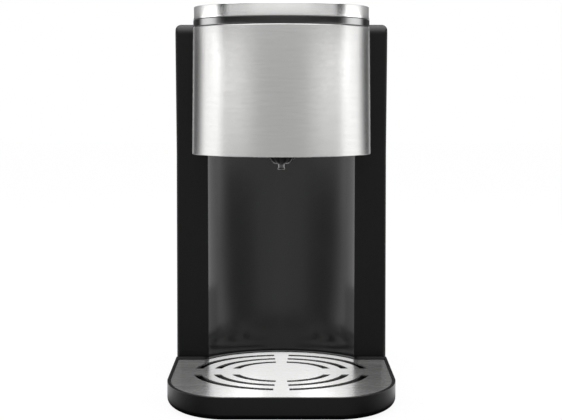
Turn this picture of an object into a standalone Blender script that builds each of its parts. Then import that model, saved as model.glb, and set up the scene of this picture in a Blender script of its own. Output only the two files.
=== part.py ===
"""Instant hot water dispenser: a column with a drum head, a cup niche, a drip tray and a rear water tank.

Metres, +Z up. The front is towards -Y. The origin is on the floor under the middle of the whole object.
"""

import math

import bmesh
import bpy
from mathutils import Matrix, Vector

# Driving sizes

housing_width = 0.1740
housing_wall = 0.0025
column_room = 0.0391
housing_step = 0.0057
housing_side_round = 0.0028
housing_top_round = 0.0085
front_setback = 0.0466
tray_reach = 0.1086
tray_side_step = 0.0006
tray_height = 0.0158
foot_height = 0.0022
base_thickness = 0.0028
cup_space_height = 0.1724
niche_radius = 0.0769
niche_thickness = 0.0020

sleeve_height = 0.0977
sleeve_bottom_radius = 0.0703
sleeve_taper = 0.0011
sleeve_thickness = 0.0010
sleeve_hem = 0.0006
band_height = 0.0063
band_inset = 0.0003
ring_height = 0.0096
ring_inset = 0.0004

tank_side_step = 0.0021
tank_depth = 0.0690
tank_wall = 0.0024
tank_corner = 0.0140
tank_front_corner = 0.0050
seat_height = 0.0330
seat_inset = 0.0018
seat_recess = 0.0025
lid_thickness = 0.0080

clearance = 0.0003
slide_gap = 0.0006
overrun = 0.0040
hose_radius = 0.0042
hose_bore = 0.00265
barb_radius = 0.00235
barb_bore = 0.0015
barb_length = 0.0100
weld_distance = 0.000001
turned_weld = 0.00001
flat_angle = 0.001
crease_angle = math.radians(32)

# Levels and places worked out from the driving sizes

housing_depth = niche_radius + niche_thickness - front_setback + column_room
sleeve_top_radius = sleeve_bottom_radius - sleeve_taper
tank_width = housing_width - 2 * tank_side_step
base_top = foot_height + base_thickness
plate_top = foot_height + tray_height
sleeve_bottom = plate_top + cup_space_height
sleeve_top = sleeve_bottom + sleeve_height
band_top = sleeve_top + band_height
ring_top = band_top + ring_height
housing_top = sleeve_top + housing_step
tank_back = front_setback + housing_depth + clearance + slide_gap + tank_depth
axis_y = tray_reach - (tray_reach + tank_back) / 2
front_y = axis_y + front_setback
housing_back = front_y + housing_depth
tank_front = housing_back + clearance + slide_gap
tank_rear = tank_front + tank_depth
tank_middle = (tank_front + tank_rear) / 2
seat_top = base_top + seat_height
seat_floor = seat_top - seat_recess
plinth_low = seat_floor + clearance
tank_body_low = seat_top + clearance
tank_floor = tank_body_low + tank_wall

# The collections and the small set of shape tools

for leftover in list(bpy.data.objects):
    bpy.data.objects.remove(leftover, do_unlink=True)

parts = bpy.data.collections.new("hot_water_dispenser")
cutters = bpy.data.collections.new("cutters")
bpy.context.scene.collection.children.link(parts)
bpy.context.scene.collection.children.link(cutters)


def finish(name, colour, roughness, metallic, alpha=1.0):
    """A plain material with one colour."""
    made = bpy.data.materials.new(name)
    made.use_nodes = True
    shader = made.node_tree.nodes["Principled BSDF"]
    shader.inputs["Base Color"].default_value = (*colour, 1.0)
    shader.inputs["Roughness"].default_value = roughness
    shader.inputs["Metallic"].default_value = metallic
    shader.inputs["Alpha"].default_value = alpha
    made.diffuse_color = (*colour, alpha)
    return made


def add(name, mesh, material=None, place=(0.0, 0.0, 0.0)):
    """An object in the parts collection, or a cutter when it has no material."""
    made = bpy.data.objects.new(name, mesh)
    made.location = place
    if material:
        parts.objects.link(made)
        mesh.materials.append(material)
        mesh.shade_smooth()
        mesh.set_sharp_from_angle(angle=crease_angle)
    else:
        cutters.objects.link(made)
        made.hide_render = True
        made.display_type = "WIRE"
    return made


def box(low, high):
    """A box mesh between two corners."""
    low = Vector(low)
    high = Vector(high)
    work = bmesh.new()
    bmesh.ops.create_cube(work, size=1.0)
    middle = Matrix.Translation((low + high) / 2)
    bmesh.ops.transform(work, matrix=middle @ Matrix.Diagonal((*(high - low), 1.0)), verts=work.verts)
    mesh = bpy.data.meshes.new("box")
    work.to_mesh(mesh)
    work.free()
    return mesh


def rod(start, end, radius, sides=24, end_radius=None):
    """A cylinder or cone mesh from one point to another."""
    start = Vector(start)
    way = Vector(end) - start
    work = bmesh.new()
    bmesh.ops.create_cone(
        work,
        cap_ends=True,
        segments=sides,
        radius1=radius,
        radius2=radius if end_radius is None else end_radius,
        depth=way.length,
    )
    turn = way.to_track_quat("Z", "Y").to_matrix().to_4x4()
    bmesh.ops.transform(work, matrix=Matrix.Translation(start + way / 2) @ turn, verts=work.verts)
    mesh = bpy.data.meshes.new("rod")
    work.to_mesh(mesh)
    work.free()
    return mesh


def upright(x, y, low, high, radius, sides=24, high_radius=None):
    """A cylinder mesh that stands between two levels."""
    return rod((x, y, low), (x, y, high), radius, sides, high_radius)


def sideways(y, z, left, right, radius, sides=24):
    """A cylinder mesh that lies along X."""
    return rod((left, y, z), (right, y, z), radius, sides)


def lengthways(x, z, front, back, radius, sides=24):
    """A cylinder mesh that lies along Y."""
    return rod((x, front, z), (x, back, z), radius, sides)


def arc(centre, radii, start, end, steps):
    """Points along an elliptical arc, angles in radians from +X."""
    spread = [start + (end - start) * i / steps for i in range(steps + 1)]
    return [(centre[0] + radii[0] * math.cos(a), centre[1] + radii[1] * math.sin(a)) for a in spread]


def mirrored(half):
    """A closed outline from its right half, which runs from the middle of the front to that of the back."""
    back = [(-x, y) for x, y in reversed(half) if x > 0]
    return half + back


def slab(outlines, low, high):
    """A flat piece between two levels: the first outline is its edge and the others are its holes."""
    flat = bpy.data.curves.new("slab", "CURVE")
    flat.dimensions = "2D"
    flat.fill_mode = "BOTH"
    flat.extrude = (high - low) / 2
    for outline in outlines:
        spline = flat.splines.new("POLY")
        spline.points.add(len(outline) - 1)
        for point, (x, y) in zip(spline.points, outline):
            point.co = (x, y, 0.0, 1.0)
        spline.use_cyclic_u = True
    mesh = solid_of(flat, (0.0, 0.0, (low + high) / 2))
    if len(outlines) == 1:
        merge_flat_faces(mesh)
    return mesh


def merge_flat_faces(mesh):
    """Joins the triangles of each flat face into one face."""
    work = bmesh.new()
    work.from_mesh(mesh)
    bmesh.ops.dissolve_limit(work, angle_limit=flat_angle, verts=work.verts, edges=work.edges)
    work.to_mesh(mesh)
    work.free()


def solid_of(curve, place=(0.0, 0.0, 0.0)):
    """The closed mesh of a curve, with its caps welded on, moved to its place."""
    holder = bpy.data.objects.new("holder", curve)
    bpy.context.scene.collection.objects.link(holder)
    holder.location = place
    bpy.context.view_layer.update()
    ready = holder.evaluated_get(bpy.context.evaluated_depsgraph_get())
    mesh = bpy.data.meshes.new_from_object(ready)
    mesh.transform(holder.matrix_world)
    bpy.data.objects.remove(holder, do_unlink=True)
    work = bmesh.new()
    work.from_mesh(mesh)
    bmesh.ops.remove_doubles(work, verts=work.verts, dist=weld_distance)
    bmesh.ops.recalc_face_normals(work, faces=work.faces)
    work.to_mesh(mesh)
    work.free()
    return mesh


def pipe(points, radius, roundness=2):
    """A round bar along a line of points."""
    curve = bpy.data.curves.new("pipe", "CURVE")
    curve.dimensions = "3D"
    curve.bevel_depth = radius
    curve.bevel_resolution = roundness
    curve.use_fill_caps = True
    spline = curve.splines.new("POLY")
    spline.points.add(len(points) - 1)
    for point, at in zip(spline.points, points):
        point.co = (*at, 1.0)
    return solid_of(curve)


def route(corners, bend, steps=4):
    """A line through corner points, with each corner rounded to a bend radius."""
    corners = [Vector(c) for c in corners]
    line = [corners[0]]
    for before, corner, after in zip(corners, corners[1:], corners[2:]):
        back = (before - corner).normalized()
        ahead = (after - corner).normalized()
        half_angle = back.angle(ahead) / 2
        reach = bend / math.tan(half_angle)
        middle = corner + (back + ahead).normalized() * bend / math.sin(half_angle)
        start = (corner + back * reach - middle).normalized()
        end = (corner + ahead * reach - middle).normalized()
        for i in range(steps + 1):
            line.append(middle + start.slerp(end, i / steps) * bend)
    line.append(corners[-1])
    return line


def hose(name, corners, bend):
    """A hose whose bore slips over a barb at each end."""
    made = add(name, pipe(route(corners, bend), hose_radius), silicone)
    start_way = (Vector(corners[0]) - Vector(corners[1])).normalized() * overrun
    end_way = (Vector(corners[-1]) - Vector(corners[-2])).normalized() * overrun
    longer = [Vector(corners[0]) + start_way] + list(corners[1:-1]) + [Vector(corners[-1]) + end_way]
    return combine(made, pipe(route(longer, bend), hose_bore))


def set_origin(made, point):
    """Moves a piece's origin to a point and leaves its shape where it is."""
    offset = Vector(point) - made.location
    made.data.transform(Matrix.Translation(-offset))
    made.location = point


def turned(profile, steps=48, closed=True):
    """A turned mesh about Z. The profile is (radius, height), down the outer side first."""
    mesh = bpy.data.meshes.new("turned")
    count = len(profile)
    edges = [(i, i + 1) for i in range(count - 1)]
    if closed:
        edges.append((count - 1, 0))
    mesh.from_pydata([(r, 0.0, z) for r, z in profile], edges, [])
    holder = bpy.data.objects.new("holder", mesh)
    bpy.context.scene.collection.objects.link(holder)
    spin = holder.modifiers.new("Screw", "SCREW")
    spin.steps = steps
    spin.render_steps = steps
    spin.use_merge_vertices = True
    spin.merge_threshold = turned_weld
    bpy.context.view_layer.update()
    ready = holder.evaluated_get(bpy.context.evaluated_depsgraph_get())
    result = bpy.data.meshes.new_from_object(ready)
    bpy.data.objects.remove(holder, do_unlink=True)
    return result


def moved(mesh, x=0.0, y=0.0, z=0.0):
    """The same mesh, moved."""
    mesh.transform(Matrix.Translation((x, y, z)))
    return mesh


def combine(target, mesh, operation="DIFFERENCE"):
    """Cuts a mesh out of a piece, or joins it on, with a Boolean modifier."""
    tool = add(target.name + "_" + operation.lower(), mesh)
    step = target.modifiers.new(operation.title(), "BOOLEAN")
    step.operation = operation
    step.object = tool
    step.solver = "EXACT"
    return target


def together(meshes):
    """Several meshes that don't touch, as one mesh."""
    work = bmesh.new()
    for mesh in meshes:
        work.from_mesh(mesh)
    made = bpy.data.meshes.new("together")
    work.to_mesh(made)
    work.free()
    return made


# The finishes

satin_black = finish("satin_black", (0.012, 0.012, 0.013), 0.42, 0.0)
gloss_black = finish("gloss_black", (0.008, 0.008, 0.009), 0.08, 0.0)
inner_black = finish("inner_black", (0.03, 0.03, 0.03), 0.6, 0.0)
brushed = finish("brushed_steel", (0.62, 0.62, 0.61), 0.3, 1.0)
plain_steel = finish("plain_steel", (0.55, 0.55, 0.55), 0.25, 1.0)
zinc = finish("zinc", (0.5, 0.5, 0.48), 0.4, 1.0)
smoke = finish("smoke_clear", (0.08, 0.085, 0.09), 0.08, 0.0, 0.45)
window_black = finish("window_black", (0.01, 0.012, 0.014), 0.04, 0.0, 0.8)
key_black = finish("key_black", (0.03, 0.03, 0.032), 0.3, 0.0)
rubber = finish("rubber", (0.015, 0.015, 0.015), 0.8, 0.0)
silicone = finish("silicone", (0.72, 0.74, 0.74), 0.45, 0.0)
board_green = finish("board_green", (0.02, 0.14, 0.06), 0.5, 0.0)
cast_white = finish("white_plastic", (0.6, 0.6, 0.57), 0.5, 0.0)
relay_blue = finish("relay_blue", (0.03, 0.09, 0.28), 0.45, 0.0)

# Outlines shared by the tray, the drip plate and the base

corner_across = 0.0474
corner_along = 0.0554
corner_steps = 10
arc_steps = 12
tray_rim = 0.0024
tray_half = housing_width / 2 + tray_side_step
quarter = math.pi / 2


def deck_outline(inset, back, hollow):
    """The D-shape of the tray, drawn in by an inset, with a round back that reaches into the niche."""
    half = tray_half - inset
    front = axis_y - tray_reach + inset
    across = corner_across - inset
    along = corner_along - inset
    points = arc((half - across, front + along), (across, along), -quarter, 0.0, corner_steps)
    points.append((half, back))
    start = math.asin((back - axis_y) / hollow)
    points += arc((0.0, axis_y), (hollow, hollow), start, quarter, arc_steps)
    points[-1] = (0.0, axis_y + hollow)
    return mirrored(points)


def rear_outline(half, front, back, front_round, back_round):
    """A rectangle with round corners behind the column."""
    points = arc((half - front_round, front + front_round), (front_round, front_round), -quarter, 0.0, 4)
    points += arc((half - back_round, back - back_round), (back_round, back_round), 0.0, quarter, 6)
    return mirrored(points)


# The base plate: one flat moulding under the tray, the column and the tank seat

tray_under_round = 0.0045
skirt_wall = 0.0016
skirt_inset = tray_under_round + skirt_wall
base_tongue_inset = skirt_inset + clearance
base_side_inset = 0.0003
foot_radius = 0.0080
foot_stem_radius = 0.0030
front_foot_side = 0.0356
front_foot_setback = 0.0360
rear_foot_side = 0.0215
rear_foot_setback = 0.0230
front_foot_x = tray_half - front_foot_side
rear_foot_x = tank_width / 2 - rear_foot_side
foot_places = [
    (side * x, y)
    for x, y in (
        (front_foot_x, axis_y - tray_reach + front_foot_setback),
        (rear_foot_x, tank_rear - rear_foot_setback),
    )
    for side in (-1, 1)
]
boss_radius = 0.0045
boss_height = 0.0200
boss_sink = 0.0015
screw_x = housing_width / 2 - housing_wall - boss_radius + boss_sink
screw_front_setback = 0.0100
screw_back_setback = 0.0120
screw_rows = (front_y + screw_front_setback, housing_back - screw_back_setback)
screw_places = [(side * screw_x, y) for y in screw_rows for side in (-1, 1)]
screw_head_radius = 0.0035
screw_head_height = 0.0012
screw_shank_radius = 0.0016
screw_length = 0.0150
screw_hole = screw_shank_radius + clearance
vent_length = 0.0360
vent_width = 0.0030
vent_pitch = 0.0075
vent_count = 5


def circle(x, y, radius, steps=12):
    """A round outline."""
    return arc((x, y), (radius, radius), 0.0, 2 * math.pi * (1 - 1 / steps), steps - 1)


def base_outline():
    """The edge of the base plate, from the tongue under the tray to the back of the tank seat."""
    half = tray_half - base_tongue_inset
    front = axis_y - tray_reach + base_tongue_inset
    across = corner_across - base_tongue_inset
    along = corner_along - base_tongue_inset
    side = housing_width / 2 - base_side_inset
    rear = tank_width / 2 - base_side_inset
    back = tank_rear - seat_inset - base_side_inset
    points = arc((half - across, front + along), (across, along), -quarter, 0.0, corner_steps)
    points += [(half, front_y), (side, front_y + clearance)]
    points += [(side, housing_back), (rear, housing_back + clearance)]
    points += arc((rear - tank_corner, back - tank_corner), (tank_corner, tank_corner), 0.0, quarter, 6)
    return mirrored(points)


def vent_outline(index):
    """One cooling slot under the tank seat."""
    y = tank_middle + (index - (vent_count - 1) / 2) * vent_pitch
    half = vent_length / 2
    return [
        (-half, y - vent_width / 2),
        (half, y - vent_width / 2),
        (half, y + vent_width / 2),
        (-half, y + vent_width / 2),
    ]


base_holes = [circle(x, y, foot_stem_radius + clearance) for x, y in foot_places]
base_holes += [circle(x, y, screw_hole) for x, y in screw_places]
base_holes += [vent_outline(index) for index in range(vent_count)]
base_plate = add("base_plate", slab([base_outline()] + base_holes, foot_height, base_top), satin_black)
for x, y in screw_places:
    recess = (x, y, foot_height - overrun)
    recess_end = (x, y, foot_height + screw_head_height + clearance + clearance)
    combine(base_plate, rod(recess, recess_end, screw_head_radius + clearance, 16))

# The four feet and the four base screws

foot_names = ("foot_front_left", "foot_front_right", "foot_rear_left", "foot_rear_right")
foot_edge = 0.0006
for name, (x, y) in zip(foot_names, foot_places):
    foot_top = foot_height - clearance
    foot_profile = [
        (0.0, base_top - clearance),
        (foot_stem_radius, base_top - clearance),
        (foot_stem_radius, foot_top),
        (foot_radius, foot_top),
        (foot_radius, foot_edge),
        (foot_radius - foot_edge, 0.0),
        (0.0, 0.0),
    ]
    add(name, turned(foot_profile, 16, closed=False), rubber, (x, y, 0.0))

screw_names = (
    "base_screw_front_left",
    "base_screw_front_right",
    "base_screw_rear_left",
    "base_screw_rear_right",
)
for name, (x, y) in zip(screw_names, screw_places):
    head_low = foot_height + clearance
    head_high = head_low + screw_head_height
    screw_profile = [
        (0.0, head_low + screw_length),
        (screw_shank_radius / 2, head_low + screw_length),
        (screw_shank_radius, head_low + screw_length - screw_shank_radius),
        (screw_shank_radius, head_high),
        (screw_head_radius, head_high),
        (screw_head_radius, head_low),
        (0.0, head_low),
    ]
    add(name, turned(screw_profile, 12, closed=False), zinc, (x, y, 0.0))

# The housing: one black shell, open at the back and below, cut by the niche and by the drum

head_gap = 0.0006
floor_recess = 0.0010
floor_thickness = 0.0030
floor_low = sleeve_bottom + floor_recess
housing_low = base_top + clearance


def rounded_block(inset, low, back):
    """The column's block with a round top front edge, drawn in by an inset."""
    half = housing_width / 2 - inset
    top = housing_top - inset
    front = front_y + inset
    top_round = housing_top_round - inset
    side_round = max(housing_side_round - inset, clearance)
    side = [(back, low), (front, low)]
    side += arc((front + top_round, top - top_round), (top_round, top_round), 2 * quarter, quarter, 6)
    side.append((back, top))
    mesh = slab([side], -half, half)
    mesh.transform(Matrix(((0, 0, 1, 0), (1, 0, 0, 0), (0, 1, 0, 0), (0, 0, 0, 1))))
    work = bmesh.new()
    work.from_mesh(mesh)
    wanted = []
    for edge in work.edges:
        a, b = edge.verts
        on_side = abs(abs(a.co.x) - half) < clearance and abs(abs(b.co.x) - half) < clearance
        same_side = a.co.x * b.co.x > 0
        at_back = min(a.co.y, b.co.y) > back - clearance
        at_bottom = max(a.co.z, b.co.z) < low + clearance
        if on_side and same_side and not at_back and not at_bottom:
            wanted.append(edge)
    bmesh.ops.bevel(
        work, geom=wanted, offset=side_round, segments=2, profile=0.5, affect="EDGES", clamp_overlap=True
    )
    bmesh.ops.recalc_face_normals(work, faces=work.faces)
    work.to_mesh(mesh)
    work.free()
    return mesh


def sleeve_radius(z):
    """The drum's outer radius at a height, which tapers evenly."""
    share = (z - sleeve_bottom) / sleeve_height
    return sleeve_bottom_radius + (sleeve_top_radius - sleeve_bottom_radius) * share


housing = add("housing_shell", rounded_block(0.0, housing_low, housing_back), satin_black)
combine(housing, rounded_block(housing_wall, housing_low - overrun, housing_back + overrun))
boss_top = housing_low + boss_height
for x, y in screw_places:
    combine(housing, upright(x, y, housing_low, boss_top, boss_radius, 20), "UNION")
for x, y in screw_places:
    combine(housing, upright(x, y, housing_low - overrun, boss_top + overrun, screw_hole, 12))
niche_cut = niche_radius + niche_thickness + clearance
combine(housing, upright(0.0, axis_y, housing_low - overrun, floor_low, niche_cut, 96))
drum_cut_low = floor_low - overrun
drum_cut_high = housing_top + overrun
drum_cut_radii = [sleeve_radius(z) + head_gap for z in (drum_cut_low, drum_cut_high)]
combine(
    housing,
    upright(0.0, axis_y, drum_cut_low, drum_cut_high, drum_cut_radii[0], 96, drum_cut_radii[1]),
)

# The niche panel: a glossy hollow wall behind the cup


def niche_outline():
    """A curved band whose ends are flush with the column's front."""
    outer = niche_radius + niche_thickness
    outer_start = math.asin(front_setback / outer)
    inner_start = math.asin(front_setback / niche_radius)
    points = arc((0.0, axis_y), (outer, outer), outer_start, 2 * quarter - outer_start, 36)
    points += arc((0.0, axis_y), (niche_radius, niche_radius), 2 * quarter - inner_start, inner_start, 36)
    return points


add("niche_panel", slab([niche_outline()], housing_low, floor_low - clearance), gloss_black)

# The rear cover: closes the column, with stand-offs for the power board

cover_thickness = 0.0025
cover_half = housing_width / 2 - housing_wall - clearance
cover_front = housing_back - cover_thickness - clearance
cover_back = housing_back - clearance
cover_top = housing_top - housing_wall - clearance
board_thickness = 0.0016
board_side_gap = 0.0108
board_headroom = 0.0094
board_width = 0.0680
board_height = 0.0720
board_low_x = cover_half - board_side_gap - board_width
board_low_z = floor_low - board_headroom - board_height
standoff_length = 0.0044
standoff_radius = 0.0030
standoff_margin = 0.0060
hose_hole_x = 0.0620
hose_hole_rise = 0.0240
hose_hole_z = base_top + hose_hole_rise
hose_hole_radius = 0.0075
lead_hole_radius = 0.0060
lead_hole_side = 0.0295
lead_hole_x = lead_hole_side - tank_width / 2

cover_sheet = box((-cover_half, cover_front, housing_low), (cover_half, cover_back, cover_top))
rear_cover = add("rear_cover", cover_sheet, inner_black)
for x in (board_low_x + standoff_margin, board_low_x + board_width - standoff_margin):
    for z in (board_low_z + standoff_margin, board_low_z + board_height - standoff_margin):
        post = lengthways(x, z, cover_back - clearance, cover_front - standoff_length, standoff_radius, 12)
        combine(rear_cover, post, "UNION")
for x, radius in ((hose_hole_x, hose_hole_radius), (lead_hole_x, lead_hole_radius)):
    hole = lengthways(x, hose_hole_z, cover_front - overrun, cover_back + overrun, radius)
    combine(rear_cover, hole)

# The tank seat: a low black box behind the column that carries the tank and the dock

seat_front = housing_back + clearance
seat_back = tank_rear - seat_inset
seat_wall = 0.0024
seat_rim = 0.0022
spigot_radius = 0.0080
seal_width = 0.0040
dock_y = tank_middle
dock_wall = 0.0025
dock_bore = spigot_radius + seal_width
dock_radius = dock_bore + dock_wall
gland_x = lead_hole_x
gland_rise = 0.0150
gland_z = base_top + gland_rise
gland_radius = 0.0062

seat_outline = rear_outline(tank_width / 2, seat_front, seat_back, tank_front_corner, tank_corner)
seat = add("tank_seat", slab([seat_outline], housing_low, seat_top), satin_black)


def seat_inner(inset):
    """The seat's outline drawn in."""
    return rear_outline(
        tank_width / 2 - inset,
        seat_front + inset,
        seat_back - inset,
        tank_front_corner - inset,
        tank_corner - inset,
    )


combine(seat, slab([seat_inner(seat_wall)], housing_low - overrun, seat_floor - seat_wall))
combine(seat, slab([seat_inner(seat_rim)], seat_floor, seat_top + overrun))
dock_hole = dock_radius + clearance
combine(seat, upright(0.0, dock_y, seat_floor - seat_wall - overrun, seat_top, dock_hole, 32))
seat_hole_back = seat_front + seat_wall + overrun
for x, radius in ((hose_hole_x, hose_hole_radius), (lead_hole_x, lead_hole_radius)):
    combine(seat, lengthways(x, hose_hole_z, seat_front - overrun, seat_hole_back, radius))
gland_hole = gland_radius + clearance
gland_hole_front = seat_back - seat_wall - overrun
combine(seat, lengthways(gland_x, gland_z, gland_hole_front, seat_back + overrun, gland_hole))

# The cord gland: a rubber bush in the back wall of the seat, with its bore empty

gland_flange_width = 0.0028
gland_flange = gland_radius + gland_flange_width
gland_flange_thickness = 0.0014
gland_wall = 0.0028
gland_bore = gland_radius - gland_wall
gland_neck = 0.0100
gland_nose = 0.0010
gland_profile = [
    (gland_bore, gland_flange_thickness),
    (gland_flange - gland_nose, gland_flange_thickness),
    (gland_flange, gland_flange_thickness - gland_nose),
    (gland_flange, 0.0),
    (gland_radius, 0.0),
    (gland_radius, -gland_neck),
    (gland_bore, -gland_neck),
]
gland = add("cord_gland", turned(gland_profile, 16), rubber, (gland_x, seat_back + clearance, gland_z))
gland.rotation_euler = (-quarter, 0.0, 0.0)

# The drip tray: a D-shaped basin whose skirt hides the base

tray_low = foot_height + clearance
tray_lip = 0.0005
tray_top = plate_top + tray_lip
tray_floor_low = base_top + clearance
tray_floor = 0.0020
plate_thickness = 0.0012
plate_side_gap = 0.0004
plate_inset = tray_rim + plate_side_gap
ledge_width = 0.0022
plate_back_gap = 0.0106
plate_hollow_inset = 0.0053
tray_back = front_y - clearance
tray_hollow = niche_radius - slide_gap
plate_hollow = tray_hollow - plate_hollow_inset
plate_back = front_y - plate_back_gap
plate_low = plate_top - plate_thickness
post_radius = 0.0035
post_x = 0.0300
post_front = -0.0280
post_rear = 0.0180
tray_lip_round = 0.0006


def tray_block():
    """The tray's D-shaped block, with a wide round along its lower edge and a small one along its rim."""
    mesh = slab([deck_outline(0.0, tray_back, tray_hollow)], tray_low, tray_top)
    for level, width, segments in ((tray_low, tray_under_round, 3), (tray_top, tray_lip_round, 1)):
        work = bmesh.new()
        work.from_mesh(mesh)
        wanted = []
        for edge in work.edges:
            at_level = all(abs(v.co.z - level) < clearance / 2 for v in edge.verts)
            highest = max(v.co.y for v in edge.verts)
            lowest = min(v.co.y for v in edge.verts)
            if at_level and highest < tray_back + clearance / 2 and lowest < tray_back - clearance:
                wanted.append(edge)
        bmesh.ops.bevel(work, geom=wanted, offset=width, segments=segments, profile=0.5, affect="EDGES")
        work.to_mesh(mesh)
        work.free()
    return mesh


tray = add("drip_tray", tray_block(), satin_black)
skirt_space = deck_outline(skirt_inset, tray_back + overrun, tray_hollow + overrun)
combine(tray, slab([skirt_space], tray_low - overrun, tray_floor_low))
combine(
    tray,
    slab(
        [deck_outline(plate_inset + ledge_width, plate_back - ledge_width, plate_hollow - ledge_width)],
        tray_floor_low + tray_floor,
        tray_top + overrun,
    ),
)
combine(
    tray,
    slab(
        [deck_outline(tray_rim, plate_back + plate_side_gap, plate_hollow + plate_side_gap)],
        plate_low - clearance,
        tray_top + overrun,
    ),
)
post_low = tray_floor_low + tray_floor / 2
for x in (-post_x, post_x):
    for y in (post_front, post_rear):
        post = upright(x, axis_y + y, post_low, plate_low - clearance, post_radius, 16)
        combine(tray, post, "UNION")

# The drip plate: sheet steel with three broken ring slots

slot_centre = -0.0120
slot_radii = (0.0375, 0.0515, 0.0665)
slot_widths = (0.0056, 0.0058, 0.0062)
bridge_halves = (0.0044, 0.0052, 0.0060)
bar_front = -0.0240
bar_back = -0.0010
slot_steps = 9


def slot_outline(radius, width, bridge, side, towards_back):
    """One quarter of a ring slot, ended on straight lines by the bridge and by the cross bar."""
    edge = (bar_back if towards_back else bar_front) - slot_centre
    centre = (0.0, axis_y + slot_centre)
    sides = []
    for reach in (radius + width / 2, radius - width / 2):
        start = math.asin(edge / reach)
        end = math.acos(bridge / reach) * (1 if towards_back else -1)
        sides.append(arc(centre, (reach, reach), start, end, slot_steps))
    points = sides[0] + sides[1][::-1]
    return [(x * side, y) for x, y in points]


slots = [
    slot_outline(radius, width, bridge, side, towards_back)
    for radius, width, bridge in zip(slot_radii, slot_widths, bridge_halves)
    for side in (-1, 1)
    for towards_back in (False, True)
]
plate_edge = deck_outline(plate_inset, plate_back, plate_hollow)
add("drip_plate", slab([plate_edge] + slots, plate_low, plate_top), brushed)

# The head: floor, carrier, sleeve, band and ring around the drum's axis

sleeve_cut = 0.0042
floor_radius = sleeve_bottom_radius - sleeve_thickness - clearance - clearance
floor_side_gap = 0.0151
floor_half = housing_width / 2 - housing_wall - floor_side_gap
floor_shoulder = front_y + sleeve_cut + slide_gap
floor_back = cover_front - clearance
nozzle_radius = 0.0120
nozzle_hole = nozzle_radius + clearance
passage_x = -0.0300
passage_half = 0.0120
passage_depth = 0.0300
carrier_radius = sleeve_top_radius - sleeve_thickness - clearance - clearance
carrier_wall = 0.0024
neck_setback = 0.0041
neck_wall = 0.0023
neck_radius = sleeve_top_radius - neck_setback
neck_bore = neck_radius - neck_wall
board_gap = 0.0033
board_radius = neck_bore - board_gap
board_hold = 0.0080
ledge_bore = board_radius - board_hold
ledge_drop = 0.0034
ledge_thickness = 0.0020
window_half = 0.0450
window_margin = 0.0080


def floor_outline():
    """A disc under the drum that widens into a shelf inside the column, notched for the hose."""
    start = math.asin((floor_shoulder - axis_y) / floor_radius)
    points = arc((0.0, axis_y), (floor_radius, floor_radius), -quarter, start, 30)
    points[0] = (0.0, axis_y - floor_radius)
    points += [(floor_half, floor_shoulder + clearance), (floor_half, floor_back)]
    return mirrored(points)


head_floor = add(
    "head_floor",
    slab([floor_outline(), circle(0.0, axis_y, nozzle_hole, 24)], floor_low, floor_low + floor_thickness),
    inner_black,
)
combine(
    head_floor,
    box(
        (passage_x - passage_half, floor_back - passage_depth, floor_low - overrun),
        (passage_x + passage_half, floor_back + overrun, floor_low + floor_thickness + overrun),
    ),
)

carrier_low = floor_low + floor_thickness + clearance
carrier_step = sleeve_top - clearance
carrier_top = band_top - clearance
ledge_top = carrier_top - ledge_drop
carrier_profile = [
    (neck_radius, carrier_top),
    (neck_radius, carrier_step),
    (carrier_radius, carrier_step),
    (carrier_radius, carrier_low),
    (carrier_radius - carrier_wall, carrier_low),
    (carrier_radius - carrier_wall, ledge_top - ledge_thickness - ledge_thickness),
    (ledge_bore, ledge_top - ledge_thickness),
    (ledge_bore, ledge_top),
    (neck_bore, ledge_top),
    (neck_bore, carrier_top),
]
carrier = add("head_carrier", turned(carrier_profile, 30), inner_black, (0.0, axis_y, 0.0))
combine(
    carrier,
    box(
        (-window_half, axis_y, carrier_low + window_margin),
        (window_half, axis_y + sleeve_bottom_radius, carrier_step - 2 * window_margin),
    ),
)

sleeve_profile = [
    (sleeve_radius(sleeve_top) - sleeve_hem, sleeve_top),
    (sleeve_radius(sleeve_top - sleeve_hem), sleeve_top - sleeve_hem),
    (sleeve_radius(sleeve_bottom + sleeve_hem), sleeve_bottom + sleeve_hem),
    (sleeve_radius(sleeve_bottom) - sleeve_hem, sleeve_bottom),
    (sleeve_radius(sleeve_bottom) - sleeve_thickness, sleeve_bottom),
    (sleeve_radius(sleeve_top) - sleeve_thickness, sleeve_top),
]
sleeve = add("head_sleeve", turned(sleeve_profile, 72), brushed, (0.0, axis_y, 0.0))
combine(
    sleeve,
    box(
        (-sleeve_bottom_radius, front_y + sleeve_cut, sleeve_bottom - overrun),
        (sleeve_bottom_radius, axis_y + sleeve_bottom_radius + overrun, sleeve_top + overrun),
    ),
)

band_radius = sleeve_top_radius - band_inset
band_low = sleeve_top + clearance
band_high = band_top - clearance
band_bore = neck_radius + clearance
band_profile = [
    (band_radius, band_high),
    (band_radius, band_low),
    (band_bore, band_low),
    (band_bore, band_high),
]
add("gloss_band", turned(band_profile, 72), gloss_black, (0.0, axis_y, 0.0))

ring_radius = sleeve_top_radius - ring_inset
ring_width = 0.0031
ring_ledge = 0.0040
ring_seat = 0.0043
ring_round = 0.0014
ring_inner = ring_radius - ring_width
ring_profile = [
    (ring_inner, ring_top),
    (ring_radius - ring_round, ring_top),
    (ring_radius - ring_round * (1 - math.sqrt(0.5)), ring_top - ring_round * (1 - math.sqrt(0.5))),
    (ring_radius, ring_top - ring_round),
    (ring_radius, band_top),
    (ring_inner - ring_ledge, band_top),
    (ring_inner - ring_ledge, ring_top - ring_seat),
    (ring_inner, ring_top - ring_seat),
]
add("top_ring", turned(ring_profile, 72), plain_steel, (0.0, axis_y, 0.0))

# The control panel with its window and three keys

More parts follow.
